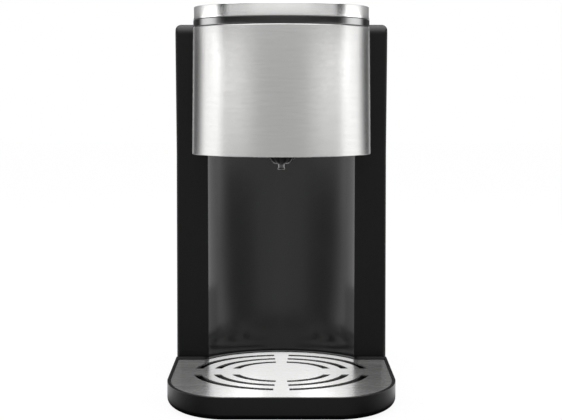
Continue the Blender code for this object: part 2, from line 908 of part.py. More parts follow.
panel_thickness = 0.0028
panel_low = ring_top - ring_seat + clearance
panel_high = panel_low + panel_thickness
panel_radius = ring_inner - clearance
key_radius = 0.0090
key_gap = 0.0003
key_spacing_share = 0.41
key_row_share = 0.50
key_proud = 0.0008
key_flange = 0.0016
key_flange_thickness = 0.0018
key_crown = 0.0006
window_width = 0.0520
window_depth = 0.0240
window_row = 0.0060
window_flange = 0.0020
window_round = 0.0030
window_flange_thickness = 0.0016


def rounded_rectangle(width, depth, y, radius):
    """A rectangle with round corners about a place on the panel."""
    half = width / 2
    points = arc((half - radius, y - depth / 2 + radius), (radius, radius), -quarter, 0.0, 4)
    points += arc((half - radius, y + depth / 2 - radius), (radius, radius), 0.0, quarter, 4)
    return mirrored(points)


key_row = axis_y - key_row_share * panel_radius
key_places = [(side * key_spacing_share * panel_radius, key_row) for side in (-1, 0, 1)]
panel_holes = [circle(x, y, key_radius + key_gap, 24) for x, y in key_places]
panel_holes.append(
    rounded_rectangle(
        window_width + 2 * clearance,
        window_depth + 2 * clearance,
        axis_y + window_row,
        window_round + clearance,
    )
)
add(
    "control_panel",
    slab([circle(0.0, axis_y, panel_radius, 60)] + panel_holes, panel_low, panel_high),
    gloss_black,
)

window = add(
    "display_window",
    slab(
        [rounded_rectangle(window_width, window_depth, axis_y + window_row, window_round)],
        panel_low - window_flange_thickness,
        panel_high,
    ),
    window_black,
)
combine(
    window,
    slab(
        [
            rounded_rectangle(
                window_width + 2 * window_flange,
                window_depth + 2 * window_flange,
                axis_y + window_row,
                window_round + window_flange,
            )
        ],
        panel_low - window_flange_thickness - clearance,
        panel_low - clearance,
    ),
    "UNION",
)

key_names = ("temperature_key", "start_key", "volume_key")
dome_names = ("temperature_dome", "start_dome", "volume_dome")
board_low = ledge_top + clearance
board_high = board_low + board_thickness
key_flange_top = panel_low - clearance
key_flange_low = key_flange_top - key_flange_thickness
dome_low = board_high + clearance
dome_top = key_flange_low - clearance
dome_radius = 0.0045
dome_tip = 0.0030
for name, dome_name, (x, y) in zip(key_names, dome_names, key_places):
    key_high = panel_high + key_proud
    key_profile = [
        (0.0, key_high - key_crown / 2),
        (key_radius / 2, key_high - key_crown / 3),
        (key_radius - key_crown, key_high),
        (key_radius, key_high - key_crown),
        (key_radius, key_flange_top),
        (key_radius + key_flange, key_flange_top),
        (key_radius + key_flange, key_flange_low),
        (0.0, key_flange_low),
    ]
    add(name, turned(key_profile, 20, closed=False), key_black, (x, y, 0.0))
    dome_profile = [
        (0.0, dome_top),
        (dome_tip, dome_top),
        (dome_radius, dome_low + (dome_top - dome_low) / 3),
        (dome_radius, dome_low),
        (0.0, dome_low),
    ]
    add(dome_name, turned(dome_profile, 12, closed=False), silicone, (x, y, 0.0))

add("control_board", slab([circle(0.0, axis_y, board_radius, 48)], board_low, board_high), board_green)

# The nozzle: a fluted cone through the head floor, with a steel outlet tube

nozzle_drop = 0.0090
nozzle_flange_width = 0.0045
nozzle_flange = nozzle_radius + nozzle_flange_width
nozzle_flange_thickness = 0.0015
nozzle_mouth = 0.0109
tube_radius = 0.00235
tube_bore = 0.0016
tube_drop = 0.0039
tube_rise = 0.0160
flute_count = 12
flute_radius = 0.0016
flare = 0.0005
flare_height = 0.0012

nozzle_low = sleeve_bottom - nozzle_drop
nozzle_seat = floor_low + floor_thickness + clearance
cone_shares = ((1.0, 0.0), (0.94, 0.38), (0.79, 0.70), (0.55, 0.93))
nozzle_profile = [
    (tube_radius + clearance, nozzle_seat + nozzle_flange_thickness),
    (nozzle_flange, nozzle_seat + nozzle_flange_thickness),
    (nozzle_flange, nozzle_seat),
    (nozzle_radius, nozzle_seat),
    (nozzle_radius, floor_low),
]
nozzle_profile += [(nozzle_mouth * r, sleeve_bottom - nozzle_drop * z) for r, z in cone_shares]
nozzle_profile += [(nozzle_mouth / 3, nozzle_low), (tube_radius + clearance, nozzle_low)]
nozzle = add("nozzle", turned(nozzle_profile, 24), inner_black, (0.0, axis_y, 0.0))
flutes = []
for i in range(flute_count):
    turn = 2 * math.pi * i / flute_count
    wide = nozzle_mouth + flute_radius / 4
    narrow = nozzle_mouth * cone_shares[3][0] + flute_radius / 4
    top_point = (wide * math.cos(turn), wide * math.sin(turn) + axis_y, sleeve_bottom + flute_radius / 2)
    low_point = (narrow * math.cos(turn), narrow * math.sin(turn) + axis_y, nozzle_low - flute_radius)
    flutes.append(rod(top_point, low_point, flute_radius, 6))
combine(nozzle, together(flutes))

tube_low = nozzle_low - tube_drop
tube_high = nozzle_seat + nozzle_flange_thickness + tube_rise
tube_profile = [
    (tube_radius, tube_high),
    (tube_radius, tube_low + flare_height),
    (tube_radius + flare, tube_low + flare_height / 2),
    (tube_radius + flare, tube_low),
    (tube_bore, tube_low),
    (tube_bore, tube_high),
]
add("outlet_tube", turned(tube_profile, 16), plain_steel, (0.0, axis_y, 0.0))

# The pump: motor, head and rotor on one level shaft, in a rubber saddle

pump_y = (axis_y + niche_radius + niche_thickness + cover_front) / 2
pump_rise = 0.0260
pump_z = base_top + pump_rise
motor_radius = 0.0135
motor_left = -0.0340
motor_right = 0.0120
motor_bore_depth = 0.0100
pump_radius = 0.0150
pump_right = 0.0360
pump_wall = 0.0030
pump_rim = 0.0040
cavity_radius = pump_radius - pump_rim
shaft_radius = 0.0015
rotor_gap = 0.0008
wheel_radius = cavity_radius - rotor_gap
vane_count = 6
vane_thickness = 0.0016
hub_radius = 0.0045
saddle_margin = 0.0040
saddle_wall = 0.0010
saddle_half = motor_radius + saddle_wall
pump_left = motor_right + clearance
port_x = (pump_left + pump_right) / 2
shaft_hole = shaft_radius + clearance
shaft_hole_left = motor_right - motor_bore_depth

motor = add("pump_motor", sideways(pump_y, pump_z, motor_left, motor_right, motor_radius, 22), zinc)
combine(motor, sideways(pump_y, pump_z, shaft_hole_left, motor_right + overrun, shaft_hole, 16))

pump_head = add("pump_head", sideways(pump_y, pump_z, pump_left, pump_right, pump_radius, 22), cast_white)
inlet_end = pump_right + barb_length
outlet_end = pump_z + pump_radius + barb_length
inlet_barb = sideways(pump_y, pump_z, pump_right - pump_wall / 2, inlet_end, barb_radius, 12)
combine(pump_head, inlet_barb, "UNION")
outlet_barb = upright(port_x, pump_y, pump_z + cavity_radius, outlet_end, barb_radius, 12)
combine(pump_head, outlet_barb, "UNION")
cavity = sideways(pump_y, pump_z, pump_left + pump_wall, pump_right - pump_wall, cavity_radius, 20)
combine(pump_head, cavity)
shaft_way = sideways(pump_y, pump_z, pump_left - overrun, pump_left + 2 * pump_wall, shaft_hole, 16)
combine(pump_head, shaft_way)
inlet_start = pump_right - 2 * pump_wall
combine(pump_head, sideways(pump_y, pump_z, inlet_start, inlet_end + overrun, barb_bore, 10))
outlet_start = pump_z + cavity_radius - overrun
combine(pump_head, upright(port_x, pump_y, outlet_start, outlet_end + overrun, barb_bore, 10))

wheel_left = pump_left + pump_wall + rotor_gap
wheel_right = pump_right - pump_wall - rotor_gap
shaft_left = shaft_hole_left + rotor_gap
rotor = add(
    "pump_rotor",
    sideways(0.0, 0.0, shaft_left, (wheel_left + wheel_right) / 2, shaft_radius, 16),
    plain_steel,
    (0.0, pump_y, pump_z),
)
hub = sideways(pump_y, pump_z, wheel_left, wheel_right, hub_radius, 16)
combine(rotor, hub, "UNION")
for i in range(vane_count // 2):
    vane = box(
        (wheel_left + clearance, -wheel_radius, -vane_thickness / 2),
        (wheel_right - clearance, wheel_radius, vane_thickness / 2),
    )
    vane.transform(Matrix.Rotation(2 * math.pi * i / vane_count, 4, "X"))
    combine(rotor, moved(vane, 0.0, pump_y, pump_z), "UNION")

saddle = add(
    "pump_saddle",
    box(
        (motor_left + saddle_margin, pump_y - saddle_half, base_top + clearance),
        (motor_right - saddle_margin, pump_y + saddle_half, pump_z - motor_radius / 2),
    ),
    rubber,
)
combine(saddle, sideways(pump_y, pump_z, motor_left, motor_right, motor_radius + clearance, 22))

# The flow heater: a steel tube between two caps, in two clips, with its thermostat and sensor

heater_x = passage_x
heater_y = pump_y
heater_radius = 0.0140
heater_rise = 0.0730
heater_headroom = 0.0204
heater_wall = 0.0030
cap_wall = 0.0017
cap_height = 0.0130
cap_lip = 0.0050
clip_thickness = 0.0022
clip_height = 0.0090
clip_pad_half = 0.0060
clip_setback = 0.0110
thermostat_radius = 0.0080
thermostat_thickness = 0.0050
sensor_radius = 0.0024
sensor_length = 0.0120

heater_place = (heater_x, heater_y, 0.0)
heater_low = base_top + heater_rise
heater_high = sleeve_bottom - heater_headroom
heater_bore = heater_radius - heater_wall
heater_fit = heater_radius + clearance
cap_radius = heater_fit + cap_wall
clip_radius = heater_fit + clip_thickness
lower_clip_z = heater_low + clip_setback
upper_clip_z = heater_high - clip_setback - clip_height
thermostat_z = (heater_low + heater_high) / 2

tube_shell = [
    (heater_radius, heater_high),
    (heater_radius, heater_low),
    (heater_bore, heater_low),
    (heater_bore, heater_high),
]
add("heater_tube", turned(tube_shell, 20), plain_steel, heater_place)

lower_profile = [
    (0.0, heater_low - clearance),
    (heater_fit, heater_low - clearance),
    (heater_fit, heater_low + cap_lip),
    (cap_radius, heater_low + cap_lip),
    (cap_radius, heater_low - cap_height),
    (0.0, heater_low - cap_height),
]
lower_cap = add("heater_cap_lower", turned(lower_profile, 20, closed=False), cast_white, heater_place)
lower_port_z = heater_low - cap_height / 2
lower_port_end = heater_x + cap_radius + barb_length
lower_barb = sideways(heater_y, lower_port_z, heater_x + cap_radius / 2, lower_port_end, barb_radius, 12)
combine(lower_cap, lower_barb, "UNION")
combine(lower_cap, sideways(heater_y, lower_port_z, heater_x, lower_port_end + overrun, barb_bore, 10))
lower_well = lower_port_z - barb_bore
combine(lower_cap, upright(heater_x, heater_y, lower_well, heater_low + overrun, barb_bore * 2, 16))

upper_profile = [
    (0.0, heater_high + cap_height),
    (cap_radius, heater_high + cap_height),
    (cap_radius, heater_high - cap_lip),
    (heater_fit, heater_high - cap_lip),
    (heater_fit, heater_high + clearance),
    (0.0, heater_high + clearance),
]
upper_cap = add("heater_cap_upper", turned(upper_profile, 20, closed=False), cast_white, heater_place)
upper_port_z = heater_high + cap_height + barb_length
sensor_z = heater_high + cap_height / 2
combine(upper_cap, upright(heater_x, heater_y, sensor_z, upper_port_z, barb_radius, 12), "UNION")
combine(upper_cap, upright(heater_x, heater_y, heater_high - overrun, upper_port_z + overrun, barb_bore, 10))
sensor_start = heater_x - cap_radius + sensor_length / 2
sensor_hole = sensor_radius + clearance
sensor_hole_end = heater_x - cap_radius - overrun
combine(upper_cap, sideways(heater_y, sensor_z, sensor_start + clearance, sensor_hole_end, sensor_hole, 16))
add(
    "temperature_sensor",
    sideways(heater_y, sensor_z, sensor_start, sensor_start - sensor_length, sensor_radius, 16),
    plain_steel,
)

for name, z in (("heater_clip_lower", lower_clip_z), ("heater_clip_upper", upper_clip_z)):
    clip_profile = [
        (clip_radius, z + clip_height),
        (clip_radius, z),
        (heater_fit, z),
        (heater_fit, z + clip_height),
    ]
    clip = add(name, turned(clip_profile, 20), zinc, heater_place)
    combine(
        clip,
        box(
            (heater_x - clip_pad_half, heater_y + (heater_radius + clip_radius) / 2, z),
            (heater_x + clip_pad_half, cover_front - clearance, z + clip_height),
        ),
        "UNION",
    )

thermostat_back = heater_y - heater_fit
thermostat_front = thermostat_back - thermostat_thickness
add(
    "cutout_thermostat",
    lengthways(heater_x, thermostat_z, thermostat_back, thermostat_front, thermostat_radius, 20),
    cast_white,
)

# The power board on the rear cover, with its three large components

power_back = cover_front - standoff_length - clearance
power_front = power_back - board_thickness
component_back = power_front - clearance
add(
    "power_board",
    box(
        (board_low_x, power_front, board_low_z),
        (board_low_x + board_width, power_back, board_low_z + board_height),
    ),
    board_green,
)
relay_size = (0.0190, 0.0155, 0.0155)
transformer_size = (0.0260, 0.0180, 0.0230)
sink_size = (0.0300, 0.0150, 0.0220)
component_margin = 0.0040
fin_thickness = 0.0016
fin_count = 5


def component(name, size, low_x, low_z, material):
    """A box that stands on the power board."""
    low = (low_x, component_back - size[1], low_z)
    high = (low_x + size[0], component_back, low_z + size[2])
    return add(name, box(low, high), material)


component(
    "power_relay", relay_size, board_low_x + component_margin, board_low_z + component_margin, relay_blue
)
component(
    "transformer",
    transformer_size,
    board_low_x + board_width - component_margin - transformer_size[0],
    board_low_z + component_margin,
    relay_blue,
)
sink_x = board_low_x + component_margin
sink_z = board_low_z + board_height - component_margin - sink_size[2]
sink = component("heat_sink", sink_size, sink_x, sink_z, zinc)
fin_gap = (sink_size[0] - fin_count * fin_thickness) / (fin_count - 1)
for i in range(fin_count - 1):
    gap_x = sink_x + fin_thickness + i * (fin_thickness + fin_gap)
    combine(
        sink,
        box(
            (gap_x, component_back - sink_size[1] - overrun, sink_z - overrun),
            (gap_x + fin_gap, component_back - 2 * fin_thickness, sink_z + sink_size[2] + overrun),
        ),
    )

# The dock: a cup in the tank seat with a pin that opens the tank's valve, and its lip seal

dock_flange_width = 0.0045
dock_flange_thickness = 0.0020
dock_depth = 0.0130
dock_flange = dock_radius + dock_flange_width
dock_top = seat_floor - clearance
dock_flange_top = seat_floor - seat_wall - clearance
dock_floor = dock_top - dock_depth
dock_port_z = dock_floor + barb_radius + clearance
pin_radius = 0.0014
seal_height = 0.0030

dock_profile = [
    (0.0, dock_floor),
    (dock_bore, dock_floor),
    (dock_bore, dock_top),
    (dock_radius, dock_top),
    (dock_radius, dock_flange_top),
    (dock_flange, dock_flange_top),
    (dock_flange, dock_flange_top - dock_flange_thickness),
    (dock_radius, dock_flange_top - dock_flange_thickness),
    (dock_radius, dock_floor - dock_wall),
    (0.0, dock_floor - dock_wall),
]
dock = add("tank_dock", turned(dock_profile, 20, closed=False), inner_black, (0.0, dock_y, 0.0))
dock_port_end = dock_radius + barb_length
dock_barb = sideways(dock_y, dock_port_z, dock_bore + dock_wall / 2, dock_port_end, barb_radius, 12)
combine(dock, dock_barb, "UNION")
combine(dock, sideways(dock_y, dock_port_z, dock_bore / 2, dock_port_end + overrun, barb_bore, 10))

# The tank valve: a spigot through the tank's floor, its plunger and its spring

spigot_wall = 0.0018
spigot_depth = 0.0085
valve_seat = 0.0015
valve_mouth = 0.0040
valve_flange_width = 0.0040
valve_flange_thickness = 0.0018
valve_height = 0.0150
valve_cap = 0.0014
plunger_thickness = 0.0018
stem_radius = 0.0022
valve_travel = 0.0040
spring_wire = 0.0004
spring_turns = 5

spigot_bore = spigot_radius - spigot_wall
spigot_low = seat_floor - spigot_depth
valve_flange = spigot_radius + valve_flange_width
valve_top = tank_floor + valve_height
plunger_radius = spigot_bore - slide_gap
spring_radius = (stem_radius + spigot_bore) / 2

pin_top = spigot_low + valve_seat
combine(dock, upright(0.0, dock_y, dock_floor - dock_wall / 2, pin_top, pin_radius, 12), "UNION")

seal_profile = [
    (dock_bore - clearance, dock_top - clearance),
    (dock_bore - clearance, dock_top - seal_height),
    (spigot_radius + clearance, dock_top - seal_height),
    (spigot_radius + clearance, dock_top - clearance),
]
add("dock_seal", turned(seal_profile, 18), silicone, (0.0, dock_y, 0.0))

valve_profile = [
    (stem_radius + clearance, valve_top),
    (spigot_radius, valve_top),
    (spigot_radius, tank_floor + clearance + valve_flange_thickness),
    (valve_flange, tank_floor + clearance + valve_flange_thickness),
    (valve_flange, tank_floor + clearance),
    (spigot_radius, tank_floor + clearance),
    (spigot_radius, spigot_low),
    (valve_mouth, spigot_low),
    (valve_mouth, spigot_low + valve_seat),
    (spigot_bore, spigot_low + valve_seat),
    (spigot_bore, valve_top - valve_cap),
    (stem_radius + clearance, valve_top - valve_cap),
]
valve_body = add("valve_body", turned(valve_profile, 18), cast_white, (0.0, dock_y, 0.0))
port_low = tank_floor + clearance + 2 * valve_flange_thickness
port_high = valve_top - 2 * valve_cap
port_half = 0.0022
combine(
    valve_body,
    box((-valve_flange, dock_y - port_half, port_low), (valve_flange, dock_y + port_half, port_high)),
)

plunger_low = spigot_low + valve_seat + clearance + valve_travel
plunger_high = plunger_low + plunger_thickness
stem_low = pin_top + clearance
stem_high = valve_top + clearance + valve_travel
plunger_profile = [
    (0.0, stem_high),
    (stem_radius, stem_high),
    (stem_radius, plunger_high),
    (plunger_radius, plunger_high),
    (plunger_radius, plunger_low),
    (stem_radius, plunger_low),
    (stem_radius, stem_low),
    (0.0, stem_low),
]
add("valve_plunger", turned(plunger_profile, 12, closed=False), silicone, (0.0, dock_y, 0.0))

spring_low = plunger_high + clearance + spring_wire
spring_high = valve_top - valve_cap - clearance - spring_wire
spring_points = []
points_per_turn = 8
for i in range(spring_turns * points_per_turn + 1):
    turn = 2 * math.pi * i / points_per_turn
    rise = spring_low + (spring_high - spring_low) * i / (spring_turns * points_per_turn)
    spring_points.append((spring_radius * math.cos(turn), dock_y + spring_radius * math.sin(turn), rise))
add("valve_spring", pipe(spring_points, spring_wire, 1), plain_steel)
spring_gap = (spring_high - spring_low) / spring_turns - 2 * spring_wire
print("least gap between the spring's turns", round(spring_gap, 5))

strainer_margin = 0.0030
strainer_wall = 0.0008
strainer_headroom = 0.0040
strainer_radius = valve_flange + strainer_margin
strainer_top = stem_high + strainer_headroom
strainer_low = tank_floor + clearance
strainer_profile = [
    (0.0, strainer_top),
    (strainer_radius, strainer_top),
    (strainer_radius, strainer_low),
    (strainer_radius - strainer_wall, strainer_low),
    (strainer_radius - strainer_wall, strainer_top - strainer_wall),
    (0.0, strainer_top - strainer_wall),
]
add("tank_strainer", turned(strainer_profile, 16, closed=False), silicone, (0.0, dock_y, 0.0))

# The water tank and its hinged lid

plinth_inset = seat_rim + slide_gap
tank_top = housing_top - lid_thickness - clearance
hinge_pin_radius = 0.0013
barrel_radius = lid_thickness / 2
deck_wall = 0.0042
lid_axis_y = tank_rear - deck_wall - clearance - barrel_radius
lid_axis_z = housing_top - barrel_radius
cheek_width = 0.0175
lid_half = tank_width / 2 - cheek_width
cheek_reach = 0.0097
lid_shoulder = math.hypot(cheek_reach, barrel_radius) + clearance
cheek_hole = 0.0080

tank_edge = rear_outline(tank_width / 2, tank_front, tank_rear, tank_front_corner, tank_corner)
tank = add("water_tank", slab([tank_edge], tank_body_low, housing_top), smoke)
plinth_edge = rear_outline(
    tank_width / 2 - plinth_inset,
    seat_front + plinth_inset,
    seat_back - plinth_inset,
    tank_front_corner - seat_rim,
    tank_corner - seat_rim,
)
combine(tank, slab([plinth_edge], plinth_low, tank_body_low + tank_wall / 2), "UNION")
combine(
    tank,
    box(
        (-tank_width, tank_front - overrun, tank_top),
        (tank_width, lid_axis_y - cheek_reach, housing_top + overrun),
    ),
)
combine(
    tank,
    box(
        (-lid_half - clearance, lid_axis_y - cheek_reach - overrun, tank_top),
        (lid_half + clearance, lid_axis_y, housing_top + overrun),
    ),
)
lid_gap_half = lid_half + clearance
barrel_gap = barrel_radius + clearance
combine(tank, sideways(lid_axis_y, lid_axis_z, -lid_gap_half, lid_gap_half, barrel_gap, 32))
lid_swing = box(
    (-lid_gap_half, lid_axis_y - barrel_gap, lid_axis_z),
    (lid_gap_half, lid_axis_y + barrel_gap, housing_top + overrun),
)
combine(tank, lid_swing)
inner_edge = rear_outline(
    tank_width / 2 - tank_wall,
    tank_front + tank_wall,
    tank_rear - tank_wall,
    tank_front_corner - tank_wall,
    tank_corner - tank_wall,
)
combine(tank, slab([inner_edge], tank_floor, tank_top))
combine(
    tank,
    upright(0.0, dock_y, plinth_low - overrun, tank_floor + overrun, spigot_radius + clearance, 24),
)
pin_end = lid_half + cheek_hole
pin_hole = hinge_pin_radius + clearance
pin_hole_end = pin_end + clearance
combine(tank, sideways(lid_axis_y, lid_axis_z, -pin_hole_end, pin_hole_end, pin_hole, 16))

plug_gap = 0.0012
plug_depth = 0.0040
plug_wall = 0.0014
tab_half = 0.0110
tab_depth = 0.0050
tab_height = 0.0012
lid_low = housing_top - lid_thickness
lid_shoulder_y = lid_axis_y - lid_shoulder
lid_points = arc(
    (tank_width / 2 - tank_front_corner, tank_front + tank_front_corner),
    (tank_front_corner, tank_front_corner),
    -quarter,
    0.0,
    4,
)
lid_points += [
    (tank_width / 2, lid_shoulder_y),
    (lid_half, lid_shoulder_y),
    (lid_half, lid_axis_y),
]


def under_lid(inset):
    """An outline inside the lid, drawn in from its edge."""
    radius = tank_front_corner - tank_wall
    return rear_outline(
        tank_width / 2 - inset, tank_front + inset, lid_shoulder_y - inset, radius, radius
    )


lid = add("tank_lid", slab([mirrored(lid_points)], lid_low, housing_top), satin_black)
set_origin(lid, (0.0, lid_axis_y, lid_axis_z))
combine(lid, sideways(lid_axis_y, lid_axis_z, -lid_half, lid_half, barrel_radius, 32), "UNION")
combine(lid, slab([under_lid(tank_wall)], lid_low - overrun, housing_top - tank_wall))
plug_outer = under_lid(tank_wall + plug_gap)
plug_inner = under_lid(tank_wall + plug_gap + plug_wall)
combine(lid, slab([plug_outer, plug_inner], lid_low - plug_depth, housing_top - tank_wall / 2), "UNION")
tab = box(
    (-tab_half, tank_front, housing_top - tank_wall / 2),
    (tab_half, tank_front + tab_depth, housing_top + tab_height),
)
combine(lid, tab, "UNION")
combine(lid, sideways(lid_axis_y, lid_axis_z, -lid_half - overrun, lid_half + overrun, pin_hole, 16))
add(
    "lid_hinge_pin",
    sideways(lid_axis_y, lid_axis_z, -pin_end, pin_end, hinge_pin_radius, 16),
    plain_steel,
)

# The three hoses

hose_bend = 0.0150
hose(
    "inlet_hose",
    (
        (dock_radius + clearance, dock_y, dock_port_z),
        (hose_hole_x, dock_y, dock_port_z),
        (hose_hole_x, pump_y, pump_z),
        (pump_right + clearance, pump_y, pump_z),
    ),
    hose_bend,
)
hose(
    "pump_hose",
    (
        (port_x, pump_y, pump_z + pump_radius + clearance),
        (port_x, pump_y, lower_port_z),
        (heater_x + cap_radius + clearance, heater_y, lower_port_z),
    ),
    hose_bend,
)
hose_level = tube_high + hose_bend + clearance
hose(
    "outlet_hose",
    (
        (heater_x, heater_y, heater_high + cap_height + clearance),
        (heater_x, heater_y, hose_level),
        (0.0, axis_y, hose_level),
        (0.0, axis_y, nozzle_seat + nozzle_flange_thickness + clearance),
    ),
    hose_bend,
)

# Origins of the pieces that slide

set_origin(tray, (0.0, axis_y, tray_low))
set_origin(tank, (0.0, tank_middle, plinth_low))
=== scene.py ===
import math

import bpy
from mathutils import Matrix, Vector


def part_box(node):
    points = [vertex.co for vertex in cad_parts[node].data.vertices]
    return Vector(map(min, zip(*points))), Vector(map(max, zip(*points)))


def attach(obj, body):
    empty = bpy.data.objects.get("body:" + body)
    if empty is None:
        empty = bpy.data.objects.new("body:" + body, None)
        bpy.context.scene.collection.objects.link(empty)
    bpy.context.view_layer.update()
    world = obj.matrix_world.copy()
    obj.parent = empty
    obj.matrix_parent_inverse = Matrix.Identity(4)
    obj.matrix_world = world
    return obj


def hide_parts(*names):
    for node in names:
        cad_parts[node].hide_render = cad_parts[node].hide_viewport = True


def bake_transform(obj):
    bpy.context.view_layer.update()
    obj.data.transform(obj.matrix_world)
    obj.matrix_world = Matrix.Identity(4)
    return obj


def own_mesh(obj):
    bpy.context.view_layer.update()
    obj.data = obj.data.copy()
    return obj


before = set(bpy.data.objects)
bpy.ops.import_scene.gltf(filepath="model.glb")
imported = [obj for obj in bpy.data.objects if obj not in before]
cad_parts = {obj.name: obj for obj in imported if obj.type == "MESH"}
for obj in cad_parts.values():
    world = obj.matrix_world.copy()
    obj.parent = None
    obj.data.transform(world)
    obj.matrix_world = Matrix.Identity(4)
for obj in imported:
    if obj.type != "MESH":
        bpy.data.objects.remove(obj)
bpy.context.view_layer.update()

# The view: straight from the front, level with the drum's lower half and a little above the drip plate.
# A long lens, so the column's sides stay almost upright.
view_height = 0.2335
view_distance = 1.10265
view_aside = -0.0003
view_tilt = math.radians(4.75)
view_lens = 86.2

bpy.ops.object.select_all(action="DESELECT")
bpy.ops.object.camera_add(
    location=(view_aside, -view_distance, view_height), rotation=(math.pi / 2 - view_tilt, 0.0, 0.0)
)
front_view = bpy.context.object
front_view.data.lens = view_lens
bpy.context.scene.camera = front_view
bpy.context.scene.view_settings.view_transform = "Standard"

# The light: a white surround, two tall soft boxes beside the object and one above it for soft light, and
# round curtains and flat cards that only gloss can see, whose bands draw the reflections on the steel.
surround = bpy.data.worlds.new("surround")
bpy.context.scene.world = surround
surround.use_nodes = True
surround_strength = 0.62
white = (1.0, 1.0, 1.0, 1.0)
ring_low, ring_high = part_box("top_ring")
drum_y = (ring_low.y + ring_high.y) / 2
stand_distance = 1.5
soft_box_bearing = math.radians(104.5)
soft_box_width = 1.0
soft_box_height = 1.25
soft_box_rise = 0.26
soft_box_power = 8.5
top_box_power = 5.0
top_box_size = 1.1
top_box_place = (0.0, -0.1, 1.7)
both_sides = ((-1, "left"), (1, "right"))


def worked(tree, operation, first, second=None):
    """One step of arithmetic in a node tree, on a socket and a number or a second socket."""
    step = tree.nodes.new("ShaderNodeMath")
    step.operation = operation
    tree.links.new(first, step.inputs[0])
    if isinstance(second, float):
        step.inputs[1].default_value = second
    elif second is not None:
        tree.links.new(second, step.inputs[1])
    return step.outputs[0]


def mixed(tree, share, first, second):
    """A mix of two shaders by a socket."""
    mix = tree.nodes.new("ShaderNodeMixShader")
    tree.links.new(share, mix.inputs["Fac"])
    tree.links.new(first, mix.inputs[1])
    tree.links.new(second, mix.inputs[2])
    return mix.outputs[0]


def any_but_diffuse(tree):
    """1 for rays that see a surface, mirror it or pass through to it, and 0 for soft light."""
    rays = tree.nodes.new("ShaderNodeLightPath")
    seen = worked(tree, "MAXIMUM", rays.outputs["Is Camera Ray"], rays.outputs["Is Glossy Ray"])
    return worked(tree, "MAXIMUM", seen, rays.outputs["Is Transmission Ray"])


sky = surround.node_tree
seen_sky = sky.nodes["Background"]
soft_sky = sky.nodes.new("ShaderNodeBackground")
seen_sky.inputs["Color"].default_value = white
soft_sky.inputs["Color"].default_value = white
soft_sky.inputs["Strength"].default_value = surround_strength
sky_mix = mixed(sky, any_but_diffuse(sky), soft_sky.outputs[0], seen_sky.outputs[0])
sky.links.new(sky_mix, sky.nodes["World Output"].inputs["Surface"])


def lamp(name, width, height, power, place, turn=(0.0, 0.0, 0.0)):
    """A lamp for soft light alone, which is neither seen nor mirrored."""
    bpy.ops.object.light_add(type="AREA", location=place, rotation=turn)
    made = bpy.context.object
    made.name = name
    made.data.shape = "RECTANGLE"
    made.data.size = width
    made.data.size_y = height
    made.data.energy = power
    made.visible_camera = False
    made.visible_glossy = False


for side, side_name in both_sides:
    turn = side * soft_box_bearing
    aside, ahead = stand_distance * math.sin(turn), stand_distance * math.cos(turn)
    place = (aside, drum_y - ahead, soft_box_height / 2 - soft_box_rise)
    lamp(
        "soft_box_" + side_name, soft_box_width, soft_box_height, soft_box_power, place,
        (math.pi / 2, 0.0, turn)
    )
lamp("top_box", top_box_size, top_box_size, top_box_power, top_box_place)


def only_for_gloss(sheet, material):
    """Makes a sheet one that only mirrored rays can see."""
    sheet.data.materials.append(material)
    sheet.visible_camera = False
    sheet.visible_diffuse = False
    sheet.visible_transmission = False
    sheet.visible_shadow = False


def glow_sheet(name, tone, one_sided=False):
    """The plain glow of a card, and on a one-sided card only towards its back."""
    made = bpy.data.materials.new(name)
    made.use_nodes = True
    tree = made.node_tree
    glow = tree.nodes.new("ShaderNodeEmission")
    glow.inputs["Strength"].default_value = tone
    shown = glow.outputs[0]
    if one_sided:
        side_seen = tree.nodes.new("ShaderNodeNewGeometry")
        clear = tree.nodes.new("ShaderNodeBsdfTransparent")
        shown = mixed(tree, side_seen.outputs["Backfacing"], clear.outputs[0], shown)
    tree.links.new(shown, tree.nodes["Material Output"].inputs["Surface"])
    return made


sheet_lift = 0.0002
curtain_sides = 96


def curtain(name, low, high, bands, radius=stand_distance, one_sided=False):
    """A round wall, or a disc without height, that glows by its bearing from the front in degrees."""
    bpy.ops.object.select_all(action="DESELECT")
    if high > low:
        bpy.ops.mesh.primitive_cylinder_add(
            vertices=curtain_sides, radius=radius, depth=high - low, end_fill_type="NOTHING",
            location=(0.0, drum_y, (low + high) / 2)
        )
    else:
        bpy.ops.mesh.primitive_circle_add(
            vertices=curtain_sides, radius=radius, fill_type="NGON", location=(0.0, drum_y, low + sheet_lift)
        )
    sheet = bpy.context.object
    sheet.name = name
    top_tone = max(tone for bearing, tone in bands)
    made = glow_sheet(name, top_tone, one_sided)
    tree = made.node_tree
    place = tree.nodes.new("ShaderNodeTexCoord")
    parted = tree.nodes.new("ShaderNodeSeparateXYZ")
    tree.links.new(place.outputs["Object"], parted.inputs[0])
    aside = worked(tree, "ABSOLUTE", parted.outputs["X"])
    ahead = worked(tree, "MULTIPLY", parted.outputs["Y"], -1.0)
    half_turn = worked(tree, "DIVIDE", worked(tree, "ARCTAN2", aside, ahead), math.pi)
    ramp = tree.nodes.new("ShaderNodeValToRGB")
    stops = ramp.color_ramp.elements
    for index, (bearing, tone) in enumerate(bands):
        stop = stops[index] if index < 2 else stops.new(bearing / 180)
        stop.position = bearing / 180
        stop.color = (tone / top_tone, tone / top_tone, tone / top_tone, 1.0)
    tree.links.new(half_turn, ramp.inputs["Fac"])
    tree.links.new(ramp.outputs["Color"], tree.nodes["Emission"].inputs["Color"])
    only_for_gloss(sheet, made)
    return sheet


